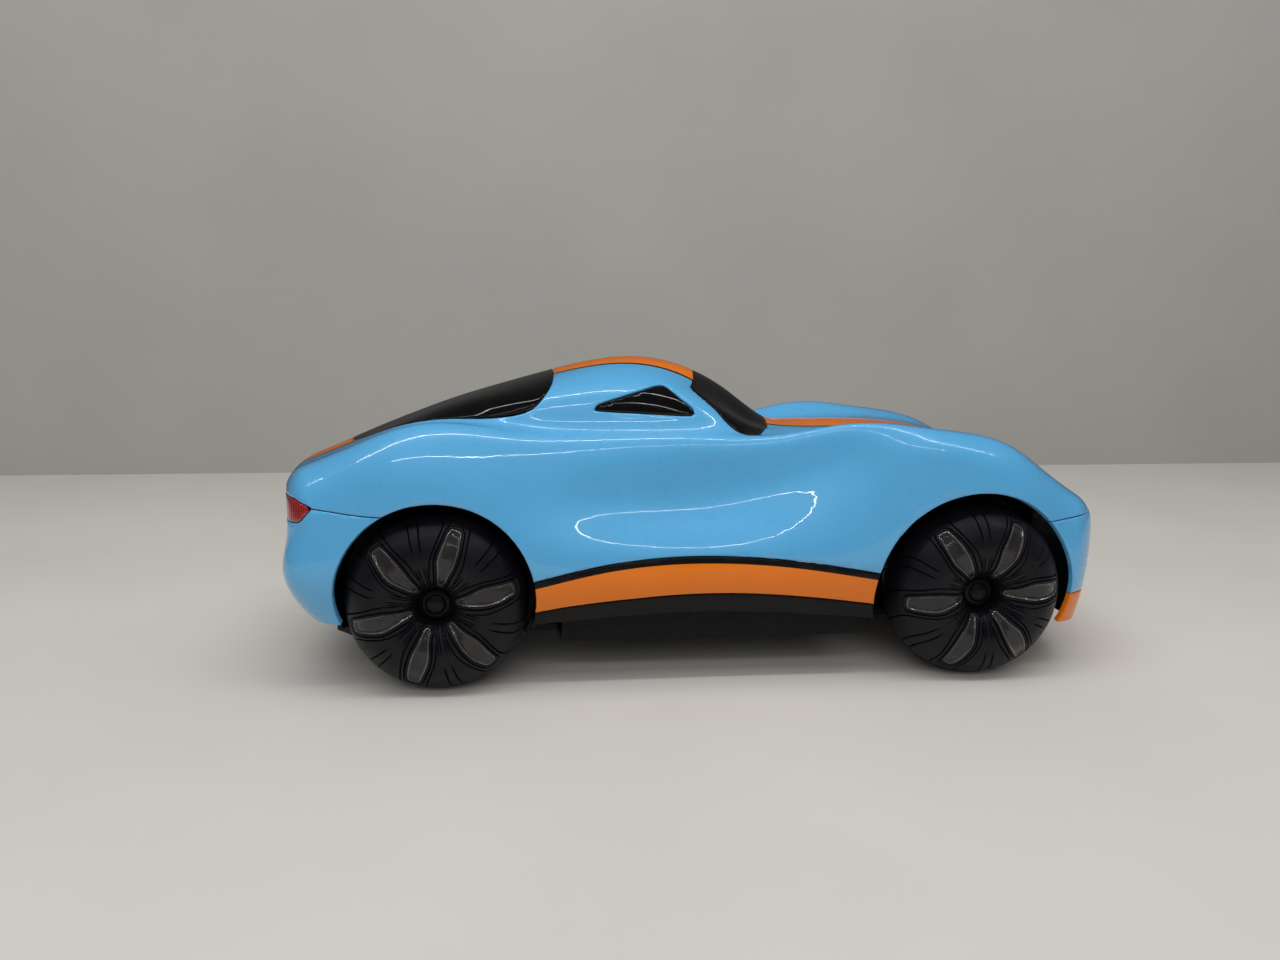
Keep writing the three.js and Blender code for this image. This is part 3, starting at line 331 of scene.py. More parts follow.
def body_patch():
    rows = []
    for station, scale in station_rows():
        half, bottom = section(station, SECTION_STEPS)
        y, z = half[:, 0] * scale, bottom + (half[:, 1] - bottom) * scale
        y, z = np.concatenate([-y, y[-2::-1]]), np.concatenate([z, z[-2::-1]])
        rows.append(np.stack([place_x(station, y, z), y, z], 1))
    grid = np.array(rows)
    along = np.gradient(grid, axis=0)
    across = np.gradient(grid, axis=1)
    normals = np.cross(along, across)
    length = np.linalg.norm(normals, axis=2, keepdims=True)
    normals = np.where(length > 1e-9, normals / np.maximum(length, 1e-9), 0)
    normals[0] = [-1, 0, 0]
    normals[-1] = [1, 0, 0]
    n_rows, n_columns = grid.shape[:2]
    index = np.arange(n_rows * n_columns).reshape(n_rows, n_columns)
    index[0] = index[0, 0]
    index[-1] = index[-1, 0]
    triangles = grid_triangles(index)
    distinct = (triangles[:, 0] != triangles[:, 1]) & (triangles[:, 1] != triangles[:, 2])
    distinct &= triangles[:, 0] != triangles[:, 2]
    patch = Patch(grid.reshape(-1, 3), normals.reshape(-1, 3), triangles)
    patch = patch.keep(distinct)
    if outward_share(patch) < 0.5:
        patch.normals = -patch.normals
    if winding_share(patch) < 0.5:
        patch.triangles = patch.triangles[:, ::-1]
    return patch


def outward_share(patch):
    centre = np.array([0, 0, 60.0])
    return np.mean(np.sum((patch.points - centre) * patch.normals, 1) > 0)


def winding_share(patch):
    p = patch.points[patch.triangles]
    face = np.cross(p[:, 1] - p[:, 0], p[:, 2] - p[:, 0])
    return np.mean(np.sum(face * patch.normals[patch.triangles[:, 0]], 1) > 0)


# ---- Edges of the panels, as distances in mm that are positive inside ----
def curve_between(points, start, end, count=24):
    xs = np.linspace(start, end, count)
    return np.stack([xs, height_of(points)(xs)], 1)


UPPER_EDGE = np.vstack([
    curve_between(REAR_SEAM, -215, REAR_X),
    curve_between(SILL_TOP, -79, 73),
    curve_between(FRONT_SEAM, FRONT_X, 215),
    [[FAR, 77], [FAR, FAR], [-FAR, FAR], [-FAR, 79]],
])
WINDSHIELD_EDGE = rounded(mirrored(WINDSHIELD))
REAR_GLASS_EDGE = rounded(mirrored(REAR_GLASS))
SIDE_WINDOW_EDGE = rounded(SIDE_WINDOW, 2, 0.12)
TAIL_LAMP_EDGE = rounded(TAIL_LAMP, 2, 0.06)
HEAD_LAMP_EDGE = rounded(HEAD_LAMP, 1, 0.06)
sill_foot = height_of(SILL_FOOT)


def above_seam(p):
    return inside_outline(UPPER_EDGE, p[:, 0], p[:, 2])


def below_seam(p):
    return -above_seam(p) - 2 * SEAM


def off_rear_arch(p):
    x, z, radius = REAR_ARCH
    return np.hypot(p[:, 0] - x, p[:, 2] - z) - radius


def off_front_arch(p):
    x, z, radius = FRONT_ARCH
    return np.hypot(p[:, 0] - x, p[:, 2] - z) - radius


def in_windshield(p):
    return np.where(p[:, 2] > 100, inside_outline(WINDSHIELD_EDGE, p[:, 0], p[:, 1]), -50.0)


def in_rear_glass(p):
    return np.where(p[:, 2] > 96, inside_outline(REAR_GLASS_EDGE, p[:, 0], p[:, 1]), -50.0)


def in_side_window(p):
    return np.where(np.abs(p[:, 1]) > 26, inside_outline(SIDE_WINDOW_EDGE, p[:, 0], p[:, 2]), -50.0)


def in_tail_lamp(p):
    return np.minimum(inside_outline(TAIL_LAMP_EDGE, p[:, 0], p[:, 2]), np.abs(p[:, 1]) - 24)


def in_head_lamp(p):
    return np.minimum(inside_outline(HEAD_LAMP_EDGE, p[:, 0], p[:, 2]), np.abs(p[:, 1]) - 26)


def in_diffuser(p):
    return np.minimum(np.minimum(38 - np.abs(p[:, 1]), 44 - p[:, 2]), -140 - p[:, 0])


def in_grille(p):
    sides = np.minimum(42 - np.abs(p[:, 1]), np.minimum(p[:, 2] - 40, 56 - p[:, 2]))
    return np.minimum(sides, p[:, 0] - 150)


def in_lip(p):
    return np.minimum(np.interp(p[:, 0], *np.array(LIP_TOP).T) - p[:, 2], p[:, 0] - 140)


def above_foot(p):
    return p[:, 2] - sill_foot(np.clip(p[:, 0], -100, 95))


def behind(x):
    return lambda p: x - p[:, 0]


def ahead(x):
    return lambda p: p[:, 0] - x


def outside(field, gap=2 * SEAM):
    return lambda p: -field(p) - gap


def on_left(p):
    return p[:, 1]


# ---- Materials ----
class Shader:
    """A procedural material built node by node around one Principled shader."""

    def __init__(self, name, roughness, **constants):
        self.material = bpy.data.materials.new(name)
        self.material.use_nodes = True
        self.nodes = self.material.node_tree.nodes
        self.links = self.material.node_tree.links
        self.shader = self.nodes["Principled BSDF"]
        self.shader.inputs["Roughness"].default_value = roughness
        for key, value in constants.items():
            self.shader.inputs[key.replace("_", " ")].default_value = value
        self.place = self.nodes.new("ShaderNodeTexCoord").outputs["Object"]

    def noise(self, scale, detail=4.0, place=None):
        node = self.nodes.new("ShaderNodeTexNoise")
        node.inputs["Scale"].default_value = scale
        node.inputs["Detail"].default_value = detail
        self.links.new(place or self.place, node.inputs["Vector"])
        return node.outputs["Fac"]

    def voronoi(self, scale):
        node = self.nodes.new("ShaderNodeTexVoronoi")
        node.inputs["Scale"].default_value = scale
        self.links.new(self.place, node.inputs["Vector"])
        return node.outputs["Distance"]

    def stretched(self, x, y, z):
        node = self.nodes.new("ShaderNodeMapping")
        node.inputs["Scale"].default_value = (x, y, z)
        self.links.new(self.place, node.inputs["Vector"])
        return node.outputs["Vector"]

    def ramp(self, value, low, high, from_value, to_value):
        node = self.nodes.new("ShaderNodeMapRange")
        limits = {"From Min": low, "From Max": high, "To Min": from_value, "To Max": to_value}
        for key, number in limits.items():
            node.inputs[key].default_value = number
        self.links.new(value, node.inputs["Value"])
        return node.outputs["Result"]

    def colours(self, value, *stops):
        node = self.nodes.new("ShaderNodeValToRGB")
        ramp = node.color_ramp
        while len(ramp.elements) < len(stops):
            ramp.elements.new(0.5)
        for element, (position, colour) in zip(ramp.elements, stops):
            element.position, element.color = position, (*colour, 1)
        self.links.new(value, node.inputs["Fac"])
        self.links.new(node.outputs["Color"], self.shader.inputs["Base Color"])

    def roughness(self, value):
        self.links.new(value, self.shader.inputs["Roughness"])

    def bump(self, height, strength, distance, into="Normal"):
        node = self.nodes.new("ShaderNodeBump")
        node.inputs["Strength"].default_value = strength
        node.inputs["Distance"].default_value = distance
        self.links.new(height, node.inputs["Height"])
        self.links.new(node.outputs["Normal"], self.shader.inputs[into])


def shade(colour, factor):
    return tuple(min(1.0, c * factor) for c in colour)


def paint(name, colour, coat, shine, roughness=0.3):
    """Lacquer with a faint mottle in the colour and a slightly rippled coat."""
    s = Shader(name, roughness, Coat_Weight=coat, Coat_Roughness=0.02, Specular_IOR_Level=shine)
    s.colours(s.noise(38, 5), (0.3, shade(colour, 0.98)), (0.7, shade(colour, 1.02)))
    s.roughness(s.ramp(s.noise(160), 0.3, 0.7, roughness - 0.05, roughness + 0.06))
    s.bump(s.noise(240, 1), 0.035, 0.0008, "Coat Normal")
    return s.material


def gloss_black(name, roughness=0.08):
    s = Shader(name, roughness, Coat_Weight=0.6, Coat_Roughness=0.02, Specular_IOR_Level=0.1)
    s.colours(s.noise(55, 5), (0.35, (0.002, 0.002, 0.0025)), (0.75, (0.004, 0.004, 0.005)))
    s.roughness(s.ramp(s.noise(90, 6), 0.35, 0.8, roughness, roughness + 0.07))
    return s.material


def moulded(name, colour, roughness, grain=900.0, shine=0.5):
    """Moulded plastic with a fine spark-eroded grain."""
    s = Shader(name, roughness, Specular_IOR_Level=shine)
    s.colours(s.noise(70, 5), (0.3, shade(colour, 0.85)), (0.75, shade(colour, 1.2)))
    s.roughness(s.ramp(s.noise(300), 0.3, 0.7, roughness - 0.07, roughness + 0.1))
    s.bump(s.noise(grain, 2), 0.16, 0.0003)
    return s.material


def rubber(name):
    s = Shader(name, 0.5, Specular_IOR_Level=0.24)
    s.colours(s.noise(60, 6), (0.3, (0.0035, 0.0035, 0.0055)), (0.8, (0.007, 0.007, 0.0105)))
    s.roughness(s.ramp(s.noise(120, 6), 0.3, 0.75, 0.36, 0.55))
    s.bump(s.noise(1400, 2), 0.15, 0.0002)
    return s.material


def smoke_lens(name):
    s = Shader(name, 0.2, Coat_Weight=0.3, Coat_Roughness=0.08, Specular_IOR_Level=0.3)
    s.colours(s.noise(150, 4), (0.3, (0.015, 0.0135, 0.013)), (0.8, (0.029, 0.026, 0.025)))
    s.bump(s.voronoi(420), 0.25, 0.0004)
    return s.material


# Raised rim of the wheel windows, coloured lighter than the lens: partly its own lighter tone, partly a
# painted highlight standing in for glints along its edges.
def lens_edge_with_painted_highlight(name):
    s = Shader(name, 0.2, Coat_Weight=0.8, Coat_Roughness=0.08)
    s.colours(s.noise(220, 4), (0.3, (0.038, 0.036, 0.036)), (0.8, (0.075, 0.071, 0.070)))
    return s.material


def slatted_with_painted_shade(name):
    """Black plastic with level slats; the grooves between the slats are painted darker as shade."""
    s = Shader(name, 0.5, Specular_IOR_Level=0.3)
    slats_and_painted_shade = s.nodes.new("ShaderNodeTexWave")
    slats_and_painted_shade.bands_direction = "Z"
    slats_and_painted_shade.inputs["Scale"].default_value = 95
    s.links.new(s.place, slats_and_painted_shade.inputs["Vector"])
    # painted shade: the colour runs darker in the grooves between the slats, following the bump
    s.colours(slats_and_painted_shade.outputs["Fac"], (0.2, (0.002, 0.002, 0.002)), (0.7, (0.012, 0.012, 0.013)))
    s.bump(slats_and_painted_shade.outputs["Fac"], 0.8, 0.0012)
    return s.material


def red_lens(name):
    s = Shader(name, 0.12, Coat_Weight=1.0, Coat_Roughness=0.02, Transmission_Weight=0.15)
    ribs = s.nodes.new("ShaderNodeTexWave")
    ribs.inputs["Scale"].default_value = 260
    s.links.new(s.place, ribs.inputs["Vector"])
    s.colours(ribs.outputs["Fac"], (0.2, (0.2, 0.006, 0.008)), (0.8, (0.46, 0.03, 0.03)))
    s.bump(ribs.outputs["Fac"], 0.25, 0.0004)
    return s.material


def clear_lens(name):
    s = Shader(name, 0.06, Coat_Weight=1.0, Coat_Roughness=0.02)
    s.colours(s.noise(90, 4), (0.3, (0.5, 0.53, 0.56)), (0.8, (0.85, 0.88, 0.9)))
    s.bump(s.voronoi(500), 0.3, 0.0005)
    return s.material


def metal(name, colour, roughness):
    """Turned or drawn metal, with fine streaks across its axis."""
    s = Shader(name, roughness, Metallic=1.0)
    streaks = s.noise(60, 6, s.stretched(1, 24, 1))
    s.colours(streaks, (0.3, shade(colour, 0.8)), (0.75, shade(colour, 1.1)))
    s.roughness(s.ramp(streaks, 0.3, 0.7, roughness - 0.06, roughness + 0.12))
    s.bump(streaks, 0.12, 0.0002)
    return s.material


def circuit_board(name):
    s = Shader(name, 0.35, Coat_Weight=0.4)
    cells = s.voronoi(330)
    s.colours(cells, (0.18, (0.012, 0.16, 0.07)), (0.3, (0.02, 0.24, 0.1)), (0.5, (0.01, 0.12, 0.05)))
    s.bump(cells, 0.2, 0.0003)
    return s.material


BLUE = (0.092, 0.39, 0.70)
ORANGE = (0.80, 0.185, 0.006)
blue_paint = paint("Sky_blue_lacquer", BLUE, 1.0, 0.4)
orange_paint = paint("Orange_lacquer", ORANGE, 0.5, 0.2)
black_line = moulded("Black_satin", (0.004, 0.004, 0.0045), 0.35, shine=0.2)
black_glass = gloss_black("Black_window_gloss")
black_skirt = moulded("Black_skirt", (0.005, 0.005, 0.0055), 0.45, shine=0.2)
black_grille_painted_shade = slatted_with_painted_shade("Black_grille_painted_shade")
tyre_rubber = rubber("Tyre_rubber")
smoke = smoke_lens("Smoked_window")
smoke_rim_with_painted_highlight = lens_edge_with_painted_highlight("Smoked_window_rim_painted_highlight")
red = red_lens("Red_lamp_lens")
clear = clear_lens("Clear_lamp_lens")
SLOT_MATERIALS = {
    "blue_shell": blue_paint,
    "black_gloss": black_glass,
    "red_lens": red,
    "clear_lens": clear,
    "orange_trim": moulded("Orange_button", ORANGE, 0.35),
    "black_plastic": moulded("Black_moulded", (0.005, 0.005, 0.0055), 0.5, shine=0.2),
    "steel": metal("Drawn_steel", (0.55, 0.56, 0.58), 0.32),
    "brass": metal("Turned_brass", (0.72, 0.5, 0.2), 0.28),
    "gear_white": moulded("Nylon_gear", (0.72, 0.71, 0.66), 0.42),
    "board_green": circuit_board("Green_board"),
    "servo_black": moulded("Servo_case", (0.03, 0.03, 0.034), 0.4),
    "battery_blue": moulded("Battery_sleeve", (0.03, 0.1, 0.36), 0.28, 300),
    "tyre": tyre_rubber,
    "smoke_lens": smoke,
}


# ---- Making objects ----
def make_object(name, points, triangles, materials, slots=None, sharp=38):
    mesh = bpy.data.meshes.new(name)
    mesh.from_pydata((points * 0.001).tolist(), [], triangles.tolist())
    for material in materials:
        mesh.materials.append(material)
    if slots is not None:
        mesh.polygons.foreach_set("material_index", slots.astype(np.int32))
    mesh.polygons.foreach_set("use_smooth", np.ones(len(mesh.polygons), bool))
    mesh.update()
    mesh.set_sharp_from_angle(angle=math.radians(sharp))
    made = bpy.data.objects.new(name, mesh)
    bpy.context.scene.collection.objects.link(made)
    return made


def stands_for(made, body, slot_name, *nodes):
    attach(made, body)
    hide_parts(*nodes)
    return made


def centres(points, triangles):
    return points[triangles].mean(1)


def both_sides(name, points, triangles, materials, slots, slot_name):
    """The left piece, and its mirror image on the right."""
    for side, flip in (("left", 1), ("right", -1)):
        placed = points * [1, flip, 1]
        made = make_object(f"{name}_{side}_skin", placed, triangles[:, ::flip], materials, slots)
        stands_for(made, "car_frame", slot_name, f"{name}_{side}")


def fitted(points):
    return points * FIT


# ---- The painted panels ----
def stripe_slots(points, triangles, lowest):
    """0 blue, 1 orange, 2 black, by the distance from the centreline. The stripe ends at a height."""
    middle = centres(points, triangles)
    y = np.abs(middle[:, 1])
    slots = np.where(y < STRIPE, 1, np.where(y < STRIPE + PINSTRIPE, 2, 0))
    return slots * (middle[:, 2] > lowest)


def striped(patch):
    for edge in (STRIPE, STRIPE + PINSTRIPE):
        patch, _ = cut(patch, lambda p, edge=edge: np.abs(p[:, 1]) - edge)
    return patch


def make_painted(name, patch, edge_fields, lowest_stripe, replaced):
    def depth_in(p):
        return np.min([field(p) for field in edge_fields], axis=0)
    points, triangles = solid_panel(striped(patch), depth_in, PANEL)
    slots = stripe_slots(points, triangles, lowest_stripe)
    made = make_object(name, fitted(points), triangles, [blue_paint, orange_paint, black_line], slots)
    stands_for(made, "car_frame", "blue_shell", replaced)


def make_panels(body):
    fields = [above_seam, off_rear_arch, off_front_arch, outside(in_windshield), outside(in_rear_glass),
              outside(in_side_window), outside(in_tail_lamp), outside(in_head_lamp)]
    make_painted("body_shell_skin", within(body, *fields), fields, 60, "body_shell")
    fields = [below_seam, off_rear_arch, outside(in_tail_lamp), outside(in_diffuser)]
    make_painted("rear_bumper_skin", within(body, behind(REAR_X), *fields), fields, 40, "rear_bumper")
    fields = [below_seam, off_front_arch, outside(in_head_lamp), outside(in_grille), outside(in_lip)]
    make_painted("front_bumper_skin", within(body, ahead(FRONT_X), *fields), fields, 56, "front_bumper")


def make_centre_piece(name, body, region, fields, material, slot_name, replaced):
    def depth_in(p):
        return np.min([field(p) for field in fields], axis=0)
    patch = within(body, *region, *fields)
    points, triangles = solid_panel(patch, depth_in, PANEL)
    made = make_object(name, fitted(points), triangles, [material])
    stands_for(made, "car_frame", slot_name, replaced)


def make_glass_and_trim(body):
    make_centre_piece("windshield_skin", body, [], [in_windshield], black_glass, "black_gloss", "windshield")
    make_centre_piece("rear_glass_skin", body, [], [in_rear_glass], black_glass, "black_gloss", "rear_glass")
    make_centre_piece("rear_diffuser_skin", body, [behind(REAR_X)], [in_diffuser, off_rear_arch],
                      SLOT_MATERIALS["black_plastic"], "black_plastic", "rear_diffuser")
    make_centre_piece("front_grille_skin", body, [], [in_grille], black_grille_painted_shade, "black_gloss", "front_grille")
    make_centre_piece("front_lip_skin", body, [ahead(FRONT_X)], [in_lip, off_front_arch],
                      orange_paint, "orange_trim", "front_lip")


def make_side_pieces(body):
    left = within(body, on_left)
    panels = {
        "side_window": ([in_side_window], black_glass, "black_gloss"),
        "tail_lamp": ([in_tail_lamp], red, "red_lens"),
        "headlamp": ([in_head_lamp], clear, "clear_lens"),
        "side_skirt": ([lambda p: -above_foot(p) - 2 * SEAM, off_rear_arch, off_front_arch, ahead(REAR_X),
                        behind(FRONT_X)], black_skirt, "black_plastic"),
    }
    for name, (fields, material, slot_name) in panels.items():
        def depth_in(p, fields=fields):
            return np.min([field(p) for field in fields], axis=0)
        points, triangles = solid_panel(within(left, *fields), depth_in, PANEL)
        both_sides(name, fitted(points), triangles, [material], None, slot_name)
    fields = [below_seam, above_foot, off_rear_arch, off_front_arch, ahead(REAR_X), behind(FRONT_X)]
    patch = within(left, *fields)
    patch, _ = cut(patch, lambda p: below_seam(p) - SILL_LINE)

    def sill_depth(p):
        return np.min([field(p) for field in fields], axis=0)
    points, triangles = solid_panel(patch, sill_depth, PANEL)
    slots = (below_seam(centres(points, triangles)) < SILL_LINE).astype(int)
    both_sides("sill_panel", fitted(points), triangles, [orange_paint, black_line], slots, "orange_trim")


body = body_patch()
make_panels(body)
make_glass_and_trim(body)
make_side_pieces(body)


# ---- Wheels: worked out facing -Y, with depth running inwards along +Y from the outer face ----
FACE = [[7.6, 11.5], [7.9, 8.6], [9.2, 5.4], [11.4, 3.1], [14, 1.5], [17.5, 0.4], [21.5, 0], [25.5, 0.6],
        [29.5, 2.2], [33, 4.9], [36, 8.6], [38, 12.8], [38.9, 17], [38.9, 22.5], [38.6, 25.5], [37.8, 28],
        [36.2, 29.8]]
WINDOW = [[9.0, 1.2], [14, 2.1], [21, 4.1], [24.5, 4.1], [34.7, 2.7],
          [34.3, -2.6], [27, -3.6], [20.5, -3.4], [14, -2.0], [9.0, -1.2]]
GROOVE_HALF = 0.42  # half the width of a groove
GROOVE_DEPTH = 0.9
WINDOW_GAP = 0.25  # between the tyre and a window's lens
TYRE_WALL = 2.1
LENS_WALL = 1.6
RIM_GROOVE = 1.2  # from a window's edge to the middle of the groove round it
PHASE = {"front": math.radians(5), "rear": math.radians(13)}
WINDOW_EDGE = rounded(WINDOW, 2, 0.13)


def window_half_width(r):
    """About half a window's width at each radius, run on past its ends."""
    return np.interp(r, [7, 9, 14, 21, 24.5, 34.4, 40], [1.0, 1.2, 2.1, 3.9, 3.9, 2.7, 3.2])


def groove_lines(r, swirl):
    """[angle, strength] at each row of every groove of one sector, in order round the wheel.

    A line on each side of the window runs on over the tread, with a short pleat inside it that ends where
    the window widens. Between the windows are a pleat at the hub and one that comes back at the shoulder."""
    beside = np.minimum((window_half_width(r) + 3.0) / r, math.radians(18.6) + np.interp(r, [12, 18], [0, 1]))
    beside_strength = np.interp(r, [8.5, 11, 16, 26, 31], [0.3, 1.0, 0.7, 0.7, 1.0])
    short = np.minimum(math.radians(13.2), beside * 0.7)
    short_strength = np.interp(r, [8.0, 10, 12.5, 15], [0.5, 1.1, 0.5, 0.0])
    hub_strength = np.interp(r, [8.0, 10, 15, 20], [0.6, 1.5, 1.2, 0.0])
    shoulder_strength = np.interp(r, [23, 28], [0.0, 0.9])
    lines = [
        (short, short_strength),
        (beside, beside_strength),
        (np.full_like(r, math.radians(22.6)), hub_strength),
        (np.full_like(r, math.radians(26.4)), np.maximum(hub_strength, shoulder_strength)),
    ]
    mirror = [(SECTOR - angle, strength) for angle, strength in reversed(lines)]
    return [(angle + swirl, strength) for angle, strength in lines + mirror]


def tyre_grid():
    """Rows over the profile and columns round the wheel, gathered at the grooves.

    Returns each point's angle, each row's radius and depth, and how deep the groove is at each point."""
    face = np.array(FACE)
    along = np.concatenate([[0], np.cumsum(np.hypot(*np.diff(face, axis=0).T))])
    rows = np.linspace(0, along[-1], 64)
    r, d = spline(along, face[:, 0])(rows), spline(along, face[:, 1])(rows)
    r = np.minimum(r, WHEEL_RADIUS - 0.05)
    d = np.maximum(d, 0.0)
    swirl = 0.20 * ease((rows - 34) / 26)
    spread = GROOVE_HALF * np.clip(r / 24, 0.25, 1)
    angles, grooves = [], []
    lines = groove_lines(r, swirl)
    offsets = ((-1.0, 0.0), (-0.45, 0.75), (0.0, 1.0), (0.45, 0.75), (1.0, 0.0))
    for k, (angle, strength) in enumerate(lines):
        for offset, share in offsets:
            angles.append(angle + offset * spread / r)
            grooves.append(share * strength * np.clip(r / 20, 0.35, 1))
        following = lines[(k + 1) % len(lines)][0] + (SECTOR if k + 1 == len(lines) else 0)
        start, end = angle + spread / r, following - spread / r
        fill = 7 if k + 1 == len(lines) else 2
        for step in range(1, fill + 1):
            angles.append(start + (end - start) * step / (fill + 1))
            grooves.append(np.zeros_like(r))
    angles, grooves = np.array(angles).T, np.array(grooves).T
    angles = np.hstack([angles + k * SECTOR for k in range(6)])
    return angles, r, d, np.hstack([grooves] * 6)


def profile_normals(r, d):
    """Outward normal of the profile in [radius, depth]."""
    dr, dd = np.gradient(r), np.gradient(d)
    length = np.hypot(dr, dd)
    return dd / length, -dr / length


def turned(angles, r, d):
    depth = np.repeat(d[:, None], angles.shape[1], 1)
    return np.stack([r[:, None] * np.cos(angles), depth, r[:, None] * np.sin(angles)], 2)


def round_patch(angles, r, d, sink):
    """A patch turned about the wheel's axle, closed on itself round the wheel."""
    normals = turned(angles, *profile_normals(r, d))
    points = turned(angles, r, d) - normals * sink[:, :, None]
    n_rows, n_columns = angles.shape
    index = np.arange(n_rows * n_columns).reshape(n_rows, n_columns)
    index = np.hstack([index, index[:, :1]])
    patch = Patch(points.reshape(-1, 3), normals.reshape(-1, 3), grid_triangles(index))
    if winding_share(patch) < 0.5:
        patch.triangles = patch.triangles[:, ::-1]
    return patch


def in_window(p):
    """Distance inside the nearest window, seen along the axle. The tyre's back has none."""
    angle = np.arctan2(p[:, 2], p[:, 0])
    offset = angle - np.round(angle / SECTOR) * SECTOR
    r = np.hypot(p[:, 0], p[:, 2])
    facing = inside_outline(WINDOW_EDGE, r * np.cos(offset), r * np.sin(offset))
    return np.where(p[:, 1] < 14, facing, -5.0)


def tyre_mesh():
    angles, r, d, grooves = tyre_grid()
    patch = round_patch(angles, r, d, grooves * GROOVE_DEPTH)
    patch = within(patch, outside(in_window, WINDOW_GAP))
    for level in np.linspace(-1, 1, 5) * GROOVE_HALF:
        patch, _ = cut(patch, lambda p, level=level: -in_window(p) - RIM_GROOVE - level)
    reach = np.hypot(patch.points[:, 0], patch.points[:, 2])
    near = np.clip(1 - np.abs(-in_window(patch.points) - RIM_GROOVE) / GROOVE_HALF, 0, 1)
    sink = GROOVE_DEPTH * np.sin(near * math.pi / 2) * np.interp(reach, [9, 13], [0.3, 1.0])
    patch.points = patch.points - patch.normals * sink[:, None]
    return solid_panel(patch, outside(in_window, WINDOW_GAP), TYRE_WALL, 0.5)


def lens_mesh():
    """The six windows: a raised rim round a sunken field, over a band that joins them."""
    angles, r, d, grooves = tyre_grid()
    patch = round_patch(angles, r, d, np.zeros_like(grooves))
    patch = within(patch, in_window)
    for level in (0.35, 0.75, 1.1):
        patch, _ = cut(patch, lambda p, level=level: in_window(p) - level)
    inside = in_window(patch.points)
    sunk = 0.35 + 0.65 * ease((inside - 0.4) / 0.6)
    patch.points = patch.points - patch.normals * sunk[:, None]
    points, triangles = solid_panel(patch, in_window, LENS_WALL, 0.3)
    # slot 1 is the raised rim, whose lighter colour is in part a painted highlight
    slots = (in_window(centres(points, triangles)) < 0.78).astype(int)
    ring_points, ring_triangles = turned_solid(LENS_BAND, 96)
    triangles = np.vstack([triangles, ring_triangles + len(points)])
    slots = np.concatenate([slots, np.zeros(len(ring_triangles), int)])
    return np.vstack([points, ring_points]), triangles, slots


def turned_solid(profile, columns):
    """A closed [radius, depth] profile turned about the axle."""
    profile = np.array(profile, float)
    angles = np.linspace(0, 2 * math.pi, columns, endpoint=False)
    angles = np.repeat(angles[None, :], len(profile), 0)
    points = turned(angles, profile[:, 0], profile[:, 1]).reshape(-1, 3)
    index = np.arange(len(points)).reshape(len(profile), columns)
    index = np.vstack([index, index[:1]])
    index = np.hstack([index, index[:, :1]])
    triangles = grid_triangles(index)
    if signed_volume(points, triangles) < 0:
        triangles = triangles[:, ::-1]
    return points, triangles


def signed_volume(points, triangles):
    p = points[triangles]
    return np.sum(p[:, 0] * np.cross(p[:, 1], p[:, 2])) / 6


LENS_BAND = [[14.4, 7.6], [20.4, 5.0], [28.6, 8.6], [33.0, 15.6],
             [32.2, 15.8], [27.4, 10.2], [20.4, 6.8], [14.4, 9.2]]
CAP = [[0.02, 8.5], [1.5, 8.55], [3.0, 8.9], [4.3, 9.6], [4.6, 10.2], [5.6, 10.3], [6.3, 10.8], [6.5, 11.6],
       [0.02, 11.6]]


def make_wheels():
    tyre_points, tyre_triangles = tyre_mesh()
    lens_points, lens_triangles, lens_slots = lens_mesh()
    cap_points, cap_triangles = turned_solid(CAP, 48)
    parts = {
        "tyre": (tyre_points, tyre_triangles, [tyre_rubber], None, "tyre"),
        "light_ring": (lens_points, lens_triangles, [smoke, smoke_rim_with_painted_highlight], lens_slots, "smoke_lens"),
        "hub_cap": (cap_points, cap_triangles, [black_line], None, "black_gloss"),
    }
    for end, x in (("front", FRONT_X), ("rear", REAR_X)):
        c, s = math.cos(PHASE[end]), math.sin(PHASE[end])
        spin = np.array([[c, 0, -s], [0, 1, 0], [s, 0, c]])
        for side, flip in (("right", 1), ("left", -1)):
            body_name = "rear_axle" if end == "rear" else f"wheel_front_{side}"
            for name, (points, triangles, materials, slots, slot_name) in parts.items():
                node = f"{name}_{end}_{side}"
                placed = (points @ spin.T) * [1, flip, 1] + [x, -flip * WHEEL_FACE_Y, AXLE_Z]
                made = make_object(f"{node}_skin", placed, triangles[:, ::flip], materials, slots)
                stands_for(made, body_name, slot_name, node)


make_wheels()


# ---- CAD nodes that stay get their slot's material ----
def finish_cad_nodes():
    slot_of = {row["node"]: row["material_slot"] for row in frame["record"]["subparts"]}
    for name, node in frame["nodes"].items():
        if not node.hide_render:
            node.data.materials.clear()
            node.data.materials.append(SLOT_MATERIALS[slot_of[name]])


finish_cad_nodes()


# ---- Stage, lights and camera ----
def make_plane(name, corners, material):
    mesh = bpy.data.meshes.new(name)
    mesh.from_pydata(corners, [], [(0, 1, 2, 3)])
    mesh.materials.append(material)
    made = bpy.data.objects.new(name, mesh)
    bpy.context.scene.collection.objects.link(made)
    return made


def stage_material(name, colour, roughness):
    s = Shader(name, roughness)
    s.colours(s.noise(6, 6), (0.3, shade(colour, 0.96)), (0.7, shade(colour, 1.03)))
    s.bump(s.noise(500, 3), 0.05, 0.0003)
    return s.material


def area_light(name, place, aim, size, power, in_reflections=True):
    data = bpy.data.lights.new(name, "AREA")
    data.shape = "RECTANGLE"
    data.size, data.size_y = size
    data.energy = power
    made = bpy.data.objects.new(name, data)
    made.visible_glossy = in_reflections
    made.location = place
    direction = Vector(aim) - Vector(place)
    made.rotation_mode = "QUATERNION"
    made.rotation_quaternion = direction.to_track_quat("-Z", "Y")
    bpy.context.scene.collection.objects.link(made)


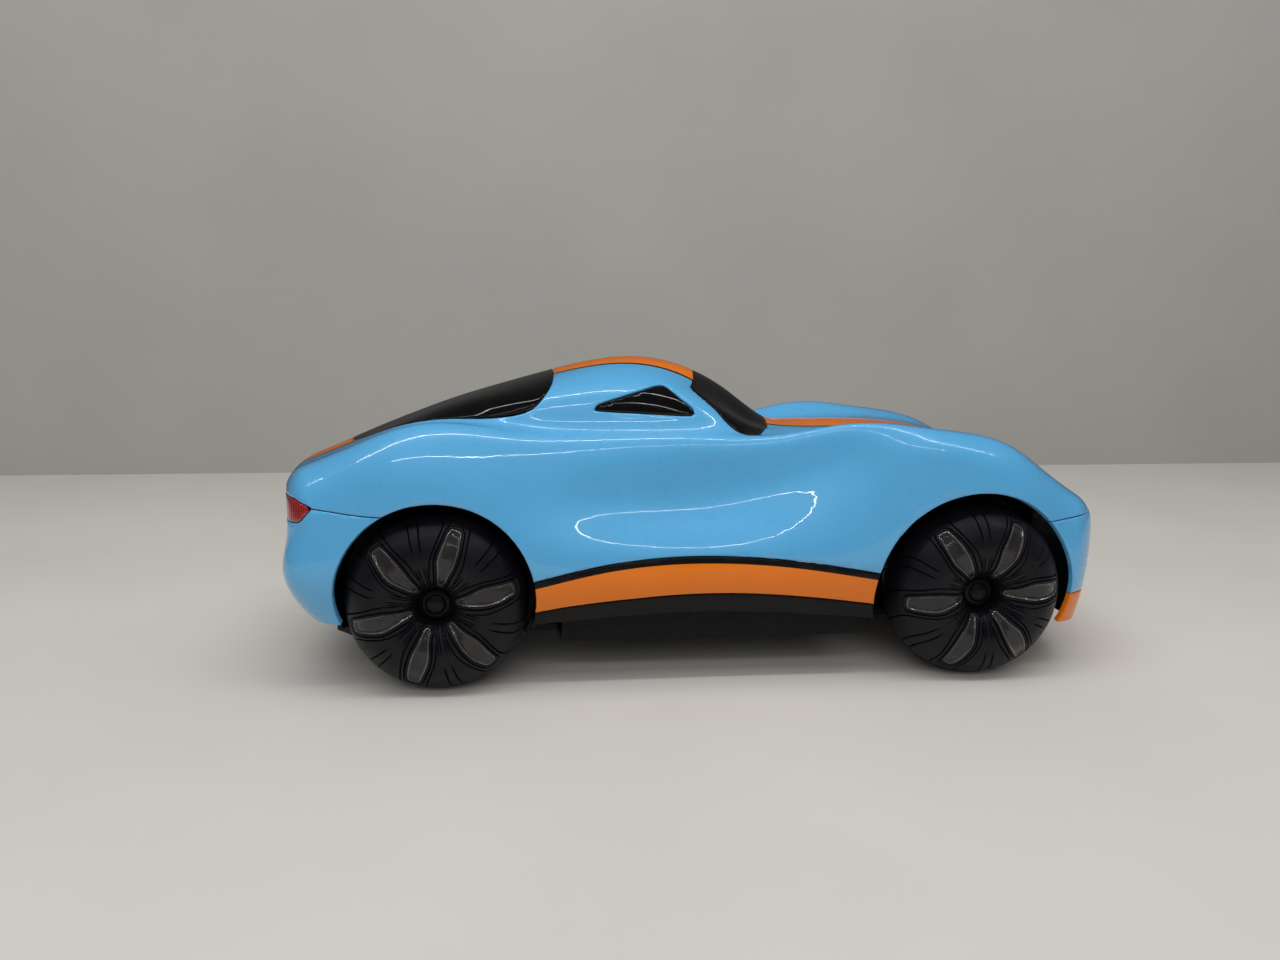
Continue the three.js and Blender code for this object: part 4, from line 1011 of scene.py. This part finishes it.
def make_stage():
    floor = stage_material("Pale_floor", (0.62, 0.60, 0.56), 0.6)
    wall = stage_material("Pale_wall", (0.40, 0.39, 0.37), 0.8)
    make_plane("floor", [(-3, -3, 0), (3, -3, 0), (3, 0.54, 0), (-3, 0.54, 0)], floor)
    backdrop = make_plane("backdrop", [(-3, 0.54, 0), (3, 0.54, 0), (3, 0.54, 2), (-3, 0.54, 2)], wall)
    backdrop.visible_glossy = False
    world = bpy.data.worlds.new("Studio")
    world.use_nodes = True
    world.node_tree.nodes["Background"].inputs["Color"].default_value = (1.0, 0.98, 0.95, 1)
    world.node_tree.nodes["Background"].inputs["Strength"].default_value = 0.07
    bpy.context.scene.world = world
    area_light("soft_top", (0, -0.3, 1.5), (0, 0, 0), (1.8, 1.2), 13.5, False)
    area_light("soft_front", (-0.2, -1.5, 1.0), (0, 0, 0.06), (1.8, 1.0), 10, False)
    area_light("strip_over", (0, -0.35, 1.1), (0, 0, 0.08), (2.6, 0.02), 5)
    area_light("strip_front", (-0.1, -1.1, 0.95), (0, 0, 0.08), (1.5, 0.012), 1.4)


CAMERA_PLACE = (-0.066, -0.450, 0.157)
CAMERA_YAW, CAMERA_PITCH, CAMERA_ROLL = math.radians(-5.0), math.radians(9.65), math.radians(0.2)
CAMERA_LENS = 26.1


def make_camera():
    data = bpy.data.cameras.new("camera")
    data.sensor_width, data.lens = 36.0, CAMERA_LENS
    data.clip_start, data.clip_end = 0.01, 20
    made = bpy.data.objects.new("camera", data)
    yaw, pitch = CAMERA_YAW, CAMERA_PITCH
    forward = Vector((-math.sin(yaw) * math.cos(pitch), math.cos(yaw) * math.cos(pitch), -math.sin(pitch)))
    right = Vector((math.cos(yaw), math.sin(yaw), 0))
    up = right.cross(forward)
    c, s = math.cos(CAMERA_ROLL), math.sin(CAMERA_ROLL)
    across, over = c * right + s * up, c * up - s * right
    rotation = Matrix((across, over, -forward)).transposed().to_4x4()
    made.matrix_world = Matrix.Translation(Vector(CAMERA_PLACE)) @ rotation
    bpy.context.scene.collection.objects.link(made)
    bpy.context.scene.camera = made


make_stage()
make_camera()
bpy.context.scene.view_settings.view_transform = "Standard"
